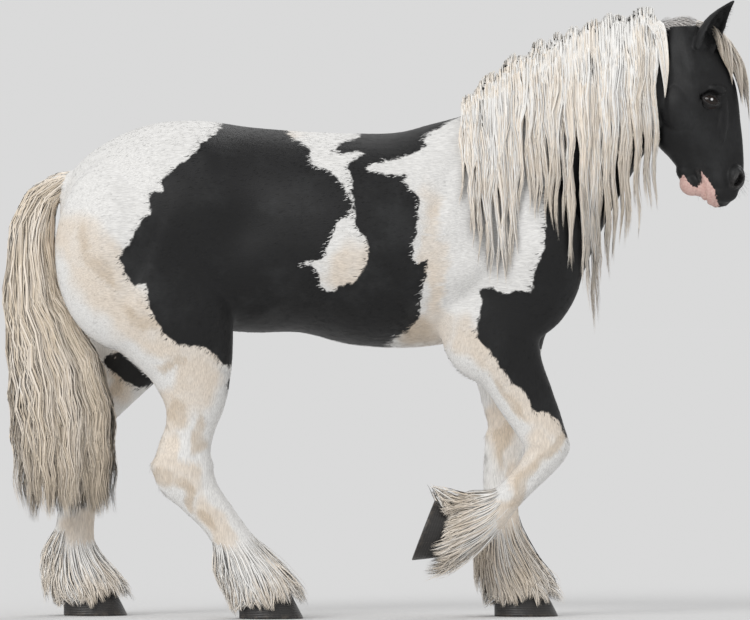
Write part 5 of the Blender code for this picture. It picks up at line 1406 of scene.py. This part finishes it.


# Clouds of the white coat, partly its own cream tone and partly painted shade on the haunches, belly and
# legs: side (-1 drawn, 1 far, 0 both), x, z, half length, half width, turn
clouds = {
    "cream": [
        (0, -0.84, 1.06, 0.15, 0.075, -52), (0, -0.76, 0.93, 0.13, 0.070, -40),
        (0, -0.60, 0.82, 0.17, 0.055, -14), (-1, -0.53, 0.70, 0.10, 0.060, 80),
        (-1, -0.60, 0.61, 0.075, 0.050, 80), (-1, -0.57, 0.42, 0.075, 0.035, -50),
        (-1, -0.47, 0.27, 0.085, 0.028, -58), (-1, -0.36, 0.12, 0.075, 0.050, -35),
        (-1, -0.63, 0.49, 0.05, 0.045, 20), (1, -0.72, 0.74, 0.12, 0.050, 60),
        (1, -0.88, 0.26, 0.050, 0.050, 0), (1, -0.88, 0.13, 0.055, 0.045, 0),
        (1, -0.80, 0.48, 0.09, 0.040, 70), (0, 0.165, 1.05, 0.030, 0.20, 4),
        (0, 0.155, 0.84, 0.060, 0.060, 0), (0, -0.04, 1.02, 0.090, 0.085, 20),
        (-1, 0.29, 0.80, 0.09, 0.050, -40), (-1, 0.38, 0.72, 0.10, 0.040, -50),
        (-1, 0.46, 0.62, 0.10, 0.050, -45), (-1, 0.44, 0.47, 0.10, 0.035, 60),
        (-1, 0.36, 0.27, 0.09, 0.050, 50), (1, 0.37, 0.62, 0.16, 0.045, 85),
        (1, 0.40, 0.34, 0.14, 0.030, 88), (1, 0.42, 0.14, 0.060, 0.050, 70),
        (0, 0.36, 1.30, 0.08, 0.05, 60), (0, -0.35, 1.42, 0.10, 0.03, 5),
    ],
    "beigeToneAndShade": [
        (0, -0.80, 1.03, 0.075, 0.018, -45), (0, -0.67, 0.87, 0.065, 0.020, -25),
        (0, -0.86, 1.10, 0.040, 0.016, -70), (-1, -0.60, 0.745, 0.050, 0.014, 5),
        (-1, -0.585, 0.590, 0.045, 0.017, 85), (-1, -0.515, 0.540, 0.055, 0.018, 80),
        (-1, -0.620, 0.425, 0.040, 0.022, -30), (-1, -0.555, 0.360, 0.045, 0.016, -60),
        (-1, -0.500, 0.300, 0.030, 0.012, -58), (1, -0.76, 0.700, 0.060, 0.020, 50),
        (1, -0.81, 0.440, 0.045, 0.018, 70), (0, 0.120, 0.840, 0.055, 0.040, 60),
        (-1, 0.385, 0.640, 0.080, 0.016, -50), (-1, 0.52, 0.510, 0.070, 0.022, 55),
        (-1, 0.43, 0.400, 0.090, 0.020, 58), (-1, 0.38, 0.230, 0.045, 0.018, 30),
        (1, 0.405, 0.215, 0.030, 0.018, 80), (1, 0.37, 0.520, 0.060, 0.018, 88),
        (1, 0.43, 0.120, 0.045, 0.018, 80),
    ],
}


def toneAndShadeAt(points, name):
    # Share of a cream or beige tone, partly the coat's own and partly painted shade: 1 inside any of its
    # ovals, smoothly 0 outside, edges bent by waves
    x, y, z = points.T
    bentX = x + 0.012 * np.sin(29 * z + 3 * np.sin(17 * x)) + 0.004 * np.sin(97 * z)
    bentZ = z + 0.012 * np.sin(31 * x + 3 * np.sin(19 * z)) + 0.004 * np.sin(89 * x)
    total = np.zeros(len(points))
    for side, cx, cz, long, wide, turn in clouds[name]:
        c, s = np.cos(np.radians(turn)), np.sin(np.radians(turn))
        u, w = (bentX - cx) * c + (bentZ - cz) * s, (bentZ - cz) * c - (bentX - cx) * s
        mine = 1.0 if side == 0 else blend(-0.02, 0.02, side * y)
        total = np.maximum(total, blend(1.35, 0.75, np.sqrt((u / long) ** 2 + (w / wide) ** 2)) * mine)
    return total


# Outline of the pink skin on the lower lip and the edge of the upper one
pinkLips = [
    (0.901, 1.300), (0.884, 1.283), (0.878, 1.258), (0.890, 1.238), (0.921, 1.224), (0.951, 1.222),
    (0.979, 1.200), (1.002, 1.204), (0.995, 1.228), (0.990, 1.251), (0.974, 1.2845), (0.950, 1.308),
    (0.953, 1.280), (0.938, 1.262), (0.923, 1.266), (0.910, 1.283),
]


def faceFields(points):
    # Pink skin on the chin and lips of the drawn side, bare dark skin round eyes, nostrils and lips
    x, y, z = points.T
    gap, _ = polyDistance(points[:, [0, 2]], mouthLine)
    waves = 0.0018 * np.sin(410 * x + 2 * np.sin(300 * z)) + 0.0014 * np.sin(520 * z + 2 * np.sin(370 * x))
    pink = blend(-0.005, 0.005, insideDistance(points, pinkLips) + waves) * blend(0.050, 0.020, y)
    bare = np.zeros(len(points))
    for side in (-1, 1):
        centre, long, high, _ = eyeFrame(side)
        offset = points - centre
        close = np.linalg.norm(offset, axis=1) < 0.05
        bare = np.maximum(bare, blend(0.016, 0.006, lidOutside(offset @ long, offset @ high)) * close)
        u, v, w, *_ = localPlace(
            points, mirrorPoint(nostrilShape["centre"], side), mirrorPoint(nostrilShape["outward"], side),
            mirrorPoint(nostrilShape["long"], side),
        )
        reach = np.sqrt((u / 0.030) ** 2 + (v / 0.019) ** 2)
        bare = np.maximum(bare, blend(1.25, 0.75, reach) * (np.abs(w) < 0.04))
    bare = np.maximum(bare, blend(0.012, 0.004, gap) * (z < 1.32) * (x > 0.9))
    return pink, bare * (1 - pink)


def paintSkin():
    # Fields that the coat's material reads, at each point
    points = readPoints(skin.data)
    mark = inChunks(markAt, points)
    setField(skin.data, "mark", mark)
    # Cream and beige shares: partly the coat's own tone, partly painted shade
    setField(skin.data, "cream", toneAndShadeAt(points, "cream"))
    setField(skin.data, "beigeToneAndShade", toneAndShadeAt(points, "beigeToneAndShade"))
    down = blend(0.95, 0.75, points[:, 2]) * (points[:, 0] < 0.75)
    setField(skin.data, "down", down)
    setField(skin.data, "face", blend(0.78, 0.86, points[:, 0]))
    pink, bare = faceFields(points)
    setField(skin.data, "pink", pink)
    setField(skin.data, "bare", bare)
    skin.data.materials.clear()
    skin.data.materials.append(coatPaint)
    print("skin painted")


paintSkin()

fur = {
    "seed": 77, "pieces": 2, "count": 17800, "long": (0.012, 0.021), "faceLong": (0.005, 0.009),
        "half": (0.0005, 0.0010),
    "high": 0.00016, "lift": 0.022,
}


def buildFur():
    # Short tufts over the whole coat: root on a random triangle chosen by area, lying along the coat's lie
    dice = np.random.default_rng(fur["seed"])
    mesh = skin.data
    mesh.calc_loop_triangles()
    corners = np.empty(len(mesh.loop_triangles) * 3, dtype=np.int32)
    mesh.loop_triangles.foreach_get("vertices", corners)
    corners = corners.reshape(-1, 3)
    points, normals = readPoints(mesh), readPoints(mesh, "normal")
    a, b, c = (points[corners[:, k]] for k in range(3))
    area = np.linalg.norm(np.cross(b - a, c - a), axis=1)
    middle = (a + b + c) / 3
    pink, bare = faceFields(middle)
    facing = unit(np.cross(b - a, c - a))
    marks = np.zeros(len(points), dtype=np.float32)
    mesh.attributes["mark"].data.foreach_get("value", marks)
    edge = np.exp(-((marks[corners].mean(axis=1) / 0.011) ** 2))
    rim = 1 - np.abs(facing[:, 1])
    area = (area * (1 - 0.97 * np.maximum(pink, bare))
        * (0.45 + 2.4 * edge + 0.8 * rim + 1.2 * (middle[:, 0] > 0.80)))
    count = fur["count"] * fur["pieces"]
    pick = dice.choice(len(corners), count, p=area / area.sum())
    first, second = dice.uniform(0, 1, (2, count))
    flip = first + second > 1
    first, second = np.where(flip, 1 - first, first)[:, None], np.where(flip, 1 - second, second)[:, None]
    third = 1 - first - second
    roots = a[pick] * third + b[pick] * first + c[pick] * second
    up = unit(normals[corners[pick, 0]] * third + normals[corners[pick, 1]] * first
        + normals[corners[pick, 2]] * second)
    lie = inChunks(lieAt, roots, up)
    lie = unit(lie + 0.16 * dice.normal(0, 1, (count, 3)))
    lie = unit(lie - up * (lie * up).sum(1, keepdims=True))
    face = blend(0.80, 0.88, roots[:, 0]) * blend(1.12, 1.2, roots[:, 2])
    foot = blend(0.30, 0.15, roots[:, 2])
    lowest = np.array(fur["long"]) [:, None] * (1 - face) + np.array(fur["faceLong"])[:, None] * face
    long = dice.uniform(lowest[0], lowest[1])
    beneath = blend(0.86, 0.80, roots[:, 2]) * (np.abs(up[:, 2]) > 0.6) * (roots[:, 2] > 0.7)
    behind = blend(-0.55, -0.85, up[:, 0]) * blend(0.75, 0.55, roots[:, 2])
    long = long * (1 + 0.7 * beneath + 0.6 * behind) * (1 - 0.3 * foot)
    lift = fur["lift"] * (1 + 3.0 * beneath + 4.0 * behind) * (1 - 0.35 * face)
    base = roots - up * 0.0012
    mid = roots + lie * (long * 0.5)[:, None] + up * (long * 0.5 * lift + 0.00025)[:, None]
    tip = roots + lie * long[:, None] + up * (long * lift * 0.8)[:, None]
    paths = np.stack([base, mid, tip], axis=1)
    widths = (dice.uniform(*fur["half"], count)[:, None] * (1 - 0.45 * face[:, None])
        * np.array([[0.7, 1.0, 0.1]]))
    highs = fur["high"] * np.array([0.6, 1.0, 0.1])
    mark = inChunks(markAt, roots) + dice.normal(0, 0.0030, count)
    # The tufts take the same cream and beige shares as the skin below them, partly tone and partly painted
    # shade
    fields = {"shade": dice.uniform(0, 1, count), "mark": mark, "cream": toneAndShadeAt(roots, "cream"),
        "beigeToneAndShade": toneAndShadeAt(roots, "beigeToneAndShade")}
    for number in range(fur["pieces"]):
        part = slice(number * fur["count"], (number + 1) * fur["count"])
        makeLocks(f"shortCoat{number + 1}", paths[part], up[part][:, None], widths[part], highs,
                  {key: values[part] for key, values in fields.items()}, furPaint, own=0.12)


buildMane()
buildTail()
for limb in limbs:
    buildFeather(limb)
buildForelock()
buildFur()
print("coat and long hair ready")

# The last two entries place and size a highlight painted into the eye's colour
eyeParts = {"bulge": 0.0012, "cornea": 0.0150, "pupilLong": 0.0080, "pupilHigh": 0.0038,
            "paintedHighlight": (0.001, 0.0030), "paintedHighlightRadius": 0.0042}


def buildEye(side):
    # An ellipsoid with a raised cornea: height + bulge x (1 - (distance from the outward pole / cornea)^2)
    centre, long, high, outward = eyeFrame(side)
    a, b, c = eyeShape["ball"]
    turn, tilt = sphereGrid(72, 56, 0.01)
    u, v, w = a * np.sin(tilt) * np.cos(turn), b * np.sin(tilt) * np.sin(turn), c * np.cos(tilt)
    bulge = eyeParts["bulge"] * np.clip(1 - (u**2 + v**2) / eyeParts["cornea"] ** 2, 0, 1) * (w > 0)
    points = centre + u[..., None] * long + v[..., None] * high + (w + bulge)[..., None] * outward
    piece = makePiece("rightEye" if side < 0 else "leftEye", *closedWay(*tube(points)))
    local = readPoints(piece.data) - centre
    setField(piece.data, "longWay", local @ long)
    setField(piece.data, "highWay", local @ high)
    setField(piece.data, "outWay", local @ outward)
    piece.data.materials.append(eyePaint)
    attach(piece, "root")
    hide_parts("right_eye" if side < 0 else "left_eye")


def closedWay(points, faces):
    # Faces turned over where the closed form's signed volume is negative
    points = np.asarray(points, float)
    volume = sum(np.dot(points[f[0]], np.cross(points[f[k]], points[f[k + 1]])) for f in faces
        for k in range(1, len(f) - 1))
    return points, [tuple(f[::-1]) for f in faces] if volume < 0 else faces


lids = {
    "count": 112,
    # distance from the lids' edge, height over the ball, share of the face's own height, bare skin
    "rows": [
        (-0.0016, -0.0022, 0.0, 1.0), (-0.0004, 0.0001, 0.0, 1.0), (0.0003, 0.0016, 0.0, 1.0),
        (0.0014, 0.0025, 0.0, 1.0), (0.0030, 0.0027, 0.0, 0.9), (0.0048, 0.0020, 0.0, 0.7),
        (0.0064, 0.0008, 0.0, 0.6), (0.0078, 0.0012, 0.05, 0.45), (0.0098, 0.0015, 0.25, 0.3),
        (0.0122, 0.0010, 0.60, 0.15), (0.0152, 0.0002, 0.95, 0.0), (0.0185, -0.0014, 1.0, 0.0),
        (0.0120, -0.0070, 0.0, 0.0), (0.0010, -0.0060, 0.0, 0.0),
    ],
}


def lidRings(side):
    # Around the almond, each ring runs from inside the opening over the lid's rim and fold into the face
    centre, long, high, outward = eyeFrame(side)
    angle = np.linspace(0, 2 * np.pi, lids["count"], endpoint=False)
    s = np.abs(np.sin(angle))
    half = np.where(np.sin(angle) > 0, eyeShape["halfUp"], eyeShape["halfDown"])
    u, v = eyeShape["halfLong"] * np.cos(angle), half * np.sin(angle) * (0.45 + 0.55 * np.sqrt(s))
    tangent = np.stack([np.roll(u, -1) - np.roll(u, 1), np.roll(v, -1) - np.roll(v, 1)], axis=1)
    for _ in range(3):
        tangent = (np.roll(tangent, 1, axis=0) + tangent + np.roll(tangent, -1, axis=0)) / 3
    away = unit(np.stack([tangent[:, 1], -tangent[:, 0]], axis=1))
    points = skinPoints[np.linalg.norm(skinPoints - centre, axis=1) < 0.075]
    offset = points - centre
    faceU, faceV, faceW = offset @ long, offset @ high, offset @ outward
    front = faceW > -0.01
    faceU, faceV, faceW = faceU[front], faceV[front], faceW[front]
    upper = np.clip(np.sin(angle), 0, 1)
    rings = []
    for far, lift, share, _ in lids["rows"]:
        far = far * (1 + 0.18 * upper) if far > 0 else far + 0 * upper
        ringU, ringV = u + away[:, 0] * far, v + away[:, 1] * far
        gap = (ringU[:, None] - faceU) ** 2 + (ringV[:, None] - faceV) ** 2
        weight = np.exp(-gap / (2 * 0.0018**2)) + 1e-12
        face = (weight * faceW).sum(axis=1) / weight.sum(axis=1)
        height = (ballHeight(ringU, ringV) - 0.10 * np.clip(far, 0, 1)) * (1 - share) + face * share
        height = height + lift * (1 + 0.30 * upper * (lift > 0))
        rings.append(centre + np.outer(ringU, long) + np.outer(ringV, high) + np.outer(height, outward))
    return np.stack(rings, axis=1), away, upper


def buildLids(side):
    # Ring rows round the eye joined to a closed band
    rings = lidRings(side)[0]
    count, rows = rings.shape[:2]
    i, j = np.meshgrid(np.arange(count), np.arange(rows), indexing="ij")
    following, below = (i + 1) % count, (j + 1) % rows
    faces = np.stack([i * rows + j, following * rows + j, following * rows + below, i * rows + below],
        axis=-1)
    points, faces = closedWay(rings.reshape(-1, 3), [tuple(f) for f in faces.reshape(-1, 4).tolist()])
    piece = makePiece("rightLids" if side < 0 else "leftLids", points, faces)
    bare = np.tile([row[3] for row in lids["rows"]], count)
    for key, value in (("mark", 1.0), ("face", 1.0), ("bare", bare)):
        setField(piece.data, key, value + 0 * bare)
    piece.data.materials.append(coatPaint)
    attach(piece, "root")


fine = {
    "seed": 5, "lashes": 90, "lashLong": (0.010, 0.017), "whiskers": 110, "whiskerLong": (0.012, 0.036),
    "earHairs": 420, "earLong": (0.010, 0.020),
}


def blackHairs(name, roots, ways, bends, half):
    # Curved hairs: root + way x t + bend x t^2, thinning to the tip
    steps = 6
    t = np.linspace(0, 1, steps)[None, :, None]
    count = len(roots)
    paths = roots[:, None] + ways[:, None] * t + bends[:, None] * t**2
    outs = np.cross(ways, np.cross(bends, ways) + 1e-6)
    shape = taper(steps, 0.2, 1.5)
    fields = {"shade": np.linspace(0, 1, count), "mark": np.ones(count)}
    makeLocks(name, paths, unit(outs)[:, None], half * shape, 0.7 * half * shape,
              fields, furPaint)


def buildFineHair():
    # Lashes on the upper lid, whiskers on the muzzle, hair inside the ears
    dice = np.random.default_rng(fine["seed"])
    for side in (-1, 1):
        _, long, high, outward = eyeFrame(side)
        rings, away, upper = lidRings(side)
        picked = np.flatnonzero(upper > 0.25)
        which = dice.choice(picked, fine["lashes"])
        shift = dice.uniform(0, 1, len(which))[:, None]
        roots = rings[which, 2] * shift + rings[which, 3] * (1 - shift) - outward * 0.0006
        fan = away[which, :1] * long + away[which, 1:] * high
        length = dice.uniform(*fine["lashLong"], len(which))[:, None]
        ways = unit(outward + 0.35 * fan - 0.25 * high + 0.12 * dice.normal(0, 1, (len(which), 3))) * length
        blackHairs("rightLashes" if side < 0 else "leftLashes", roots, ways,
            (0.35 * high + 0.10 * fan) * length, 0.00028)
    mesh = skin.data
    points, normals = readPoints(mesh), readPoints(mesh, "normal")
    low = (points[:, 0] > 0.88) & (points[:, 2] < 1.315) & (np.abs(normals[:, 1]) > 0.05)
    which = dice.choice(np.flatnonzero(low), fine["whiskers"])
    length = dice.uniform(*fine["whiskerLong"], len(which))[:, None]
    down = np.array([0.25, 0.0, -0.6])
    ways = unit(normals[which] + 0.5 * down + 0.2 * dice.normal(0, 1, (len(which), 3))) * length
    blackHairs("whiskers", points[which] - normals[which] * 0.0008, ways, 0.25 * down * length, 0.00022)
    for side in (-1, 1):
        base, tip = (np.array(earShape[end]) * (1, side, 1) for end in ("base", "tip"))
        axis = unit(tip - base)
        facing = np.array([0.62, 0.62 * side, -0.40])
        facing = unit(facing - axis * (facing @ axis))
        level = (points - base) @ axis / np.linalg.norm(tip - base)
        away = points - base - np.outer((points - base) @ axis, axis)
        near = ((level > 0.03) & (level < 0.85) & (np.linalg.norm(away, axis=1) < 0.05)
            & (points[:, 1] * side > 0))
        inner = near & (normals @ facing > 0.15)
        which = dice.choice(np.flatnonzero(inner), fine["earHairs"])
        length = dice.uniform(*fine["earLong"], len(which))[:, None] * (1 - 0.5 * level[which])[:, None]
        ways = (unit(0.8 * facing + 0.5 * normals[which] + 0.7 * axis
            + 0.2 * dice.normal(0, 1, (len(which), 3))) * length)
        blackHairs("rightEarHair" if side < 0 else "leftEarHair", points[which] - normals[which] * 0.0008,
            ways,
                   0.3 * axis * length, 0.00040)
    print("lashes, whiskers and ear hair ready")


def makeEyePaint():
    # Colours by the distance from the pupil's middle, with a painted highlight: a pale spot set in the colour
    paint, tree, shader = newPaint("eyePaint")
    u, v = field(tree, "longWay"), field(tree, "highWay")
    square = plus(tree, times(tree, u, u), times(tree, v, v))
    away = maths(tree, "SQRT", square)
    # Pupil: |u / long|^2.4 + |v / high|^2.4
    oval = plus(tree, *(
        maths(tree, "POWER", maths(tree, "ABSOLUTE", maths(tree, "DIVIDE", value, eyeParts[key])), 2.4)
        for value, key in ((u, "pupilLong"), (v, "pupilHigh"))
    ))
    pupil = spread(tree, oval, 1.25, 0.8)
    place = addNode(tree, "ShaderNodeTexCoord").outputs["Object"]
    fibre = noise(tree, place, 900, 3)
    iris = mixed(tree, spread(tree, fibre, 0.35, 0.7), (0.006, 0.0035, 0.0025, 1), (0.022, 0.011, 0.006, 1))
    white = mixed(tree, spread(tree, away, 0.0165, 0.0205), (0.006, 0.004, 0.004, 1),
        (0.030, 0.020, 0.018, 1))
    colour = mixed(tree, spread(tree, away, 0.0160, 0.0175), iris, white)
    colour = mixed(tree, pupil, colour, (0.002, 0.002, 0.003, 1))
    # Painted highlight: a pale spot in the dark of the eye, part of the colour and not a reflection of any
    # lamp
    offU, offV = minus(tree, u, eyeParts["paintedHighlight"][0]), minus(tree, v, eyeParts["paintedHighlight"][1])
    square = plus(tree, times(tree, offU, offU), times(tree, offV, offV))
    small, large = eyeParts["paintedHighlightRadius"] * 0.75, eyeParts["paintedHighlightRadius"]
    colour = mixed(tree, spread(tree, maths(tree, "SQRT", square), large, small), colour,
        (0.75, 0.75, 0.75, 1))
    setInputs(tree, shader, {
        "Base Color": colour, "Roughness": 0.3, "Specular IOR Level": 0.1, "Coat Weight": 1.0,
        "Coat IOR": 1.33, "Coat Roughness": 0.02,
    })
    return paint


eyePaint = makeEyePaint()
for side in (-1, 1):
    buildEye(side)
    buildLids(side)
buildFineHair()


def makeHornPaint():
    # Black horn with fine lines along and round the wall, dusty at the ground
    paint, tree, shader = newPaint("hornPaint")
    place = addNode(tree, "ShaderNodeTexCoord").outputs["Object"]
    level, around = field(tree, "level"), field(tree, "around")
    wobble = times(tree, noise(tree, place, 14, 2), 0.006)
    rings = maths(tree, "SINE", times(tree, plus(tree, level, wobble), 900.0))
    combined = addNode(tree, "ShaderNodeCombineXYZ",
        {0: times(tree, around, 160.0), 1: times(tree, level, 14.0), 2: 0.0})
    grain = noise(tree, combined.outputs[0], 1.0, 4, 0.6)
    tone = plus(tree, times(tree, rings, 0.10), times(tree, grain, 0.8))
    colour = mixed(tree, spread(tree, tone, 0.30, 0.75), tones["horn"], (0.050, 0.046, 0.043, 1))
    dust = times(tree, spread(tree, level, 0.018, 0.0), spread(tree, noise(tree, place, 70, 4), 0.42, 0.65))
    colour = mixed(tree, times(tree, dust, 0.6), colour, tones["hornPale"])
    setInputs(tree, shader, {"Base Color": colour, "Roughness": spread(tree, grain, 0.3, 0.8, 0.34, 0.55)})
    height = plus(tree, times(tree, rings, 0.25), times(tree, grain, 0.8))
    bump = addNode(tree, "ShaderNodeBump", {"Strength": 0.5, "Distance": 0.0012, "Height": height})
    setInputs(tree, shader, {"Normal": bump.outputs[0]})
    return paint


def buildHoof(node):
    # Rings from the sole to the slanted coronet: length and width shrink with the level; the sole is hollowed
    sole, up, toe = (np.array(values, float) for values in hooves[node])
    up, toe = unit(up), unit(toe)
    side = np.cross(up, toe)
    angle = np.linspace(0, 2 * np.pi, 72, endpoint=False)
    forward = np.cos(angle)
    middle = (hoofSize["toe"] + hoofSize["heel"]) / 2
    rise = (hoofSize["toe"] - hoofSize["heel"]) / hoofSize["long"]
    rows = [(0.0, 0.10, 0.010), (0.0, 0.55, 0.007), (0.0, 0.80, 0.0055), (0.0, 0.90, 0.0005),
        (0.0, 0.955, 0.0)]
    rows += [(0.0, 0.985, 0.0006), (0.03, 1.0, 0.0)]
    rows += ([(level, 1.0, 0.0) for level in np.linspace(0.08, 0.97, 22)]
        + [(0.985, 0.97, 0.0), (0.99, 0.80, 0.0), (0.992, 0.3, 0.0)])
    rings, levels = [], []
    for level, size, sink in rows:
        long = hoofSize["long"] * (1 - hoofSize["narrow"] * level) * size
        wide = hoofSize["wide"] * (1 - hoofSize["narrow"] * 0.7 * level) * size
        fore = long / 2 * swing(forward, 0.85) - 0.022 * level
        across = wide / 2 * swing(np.sin(angle), 0.85) * (1 - 0.14 * np.clip(-forward, 0, 1))
        # The heel is cleft between its two bulbs
        fore = fore + 0.010 * np.clip(-forward, 0, 1) ** 8 * np.exp(-((across / 0.016) ** 2)) * size
        height = (middle + rise * fore) * level + sink
        height = height - 0.0015 * (level > 0.9) * (size == 1.0)
        rings.append(sole + np.outer(fore, toe) + np.outer(across, side) + np.outer(height, up))
        levels.append(height + 0 * fore)
    name = node.title().replace("_", "")
    piece = makePiece(name[0].lower() + name[1:], *tube(rings))
    setField(piece.data, "level", np.concatenate(levels))
    setField(piece.data, "around", np.tile(np.sin(angle / 2), len(rows)))
    piece.data.materials.append(hornPaint)
    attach(piece, "root")
    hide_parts(node)


hornPaint = makeHornPaint()
for node in hooves:
    buildHoof(node)
print("eyes and hooves ready")

# Camera and studio
view = {"away": 30.0, "middle": (-0.0073, 0.902), "frameWidth": 2.1975, "nearSide": -0.10}
# The floor's tone is the world's over all light that reaches the floor, so that it meets the backdrop unseen:
# tone = world / (world + sum of power x upward share of its direction / pi)
studio = {"floorTone": 0.695, "worldTone": 1.0, "worldStrength": 0.70, "key": 1.15, "rim": 0.62,
    "softness": 0.45}


def placeCamera():
    # A level camera that frames the drawing's view
    camera = bpy.data.cameras.new("camera")
    camera.sensor_width = 36.0
    camera.lens = 36.0 * view["away"] / view["frameWidth"]
    camera.clip_end = 500
    holder = bpy.data.objects.new("camera", camera)
    holder.location = (view["middle"][0], view["nearSide"] - view["away"], view["middle"][1])
    holder.rotation_euler = (math.radians(90), 0, 0)
    bpy.context.scene.collection.objects.link(holder)
    bpy.context.scene.camera = holder


def sunLight(name, way, power):
    # Soft distant lamp that shines from the given direction
    lamp = bpy.data.lights.new(name, "SUN")
    lamp.energy, lamp.angle = power, studio["softness"]
    holder = bpy.data.objects.new(name, lamp)
    holder.rotation_euler = Vector(way).to_track_quat("Z", "Y").to_euler()
    bpy.context.scene.collection.objects.link(holder)


def buildStudio():
    # Pale floor, plain world and two soft suns
    floor = makePiece("floor", [(-900, -900, 0), (900, -900, 0), (900, 900, 0), (-900, 900, 0)],
        [(0, 1, 2, 3)])
    paint, tree, shader = newPaint("floorPaint")
    setInputs(tree, shader, {
        "Base Color": (studio["floorTone"],) * 3 + (1,), "Roughness": 0.9, "Specular IOR Level": 0.0,
    })
    floor.data.materials.append(paint)
    world = bpy.data.worlds.new("studio")
    world.use_nodes = True
    sky = world.node_tree.nodes["Background"]
    sky.inputs["Color"].default_value = (studio["worldTone"],) * 3 + (1,)
    sky.inputs["Strength"].default_value = studio["worldStrength"]
    bpy.context.scene.world = world
    bpy.context.scene.view_settings.view_transform = "Standard"
    sunLight("key", (-0.55, -0.80, 0.55), studio["key"])
    sunLight("rim", (0.35, 0.75, 0.70), studio["rim"])


placeCamera()
buildStudio()
print("studio ready")
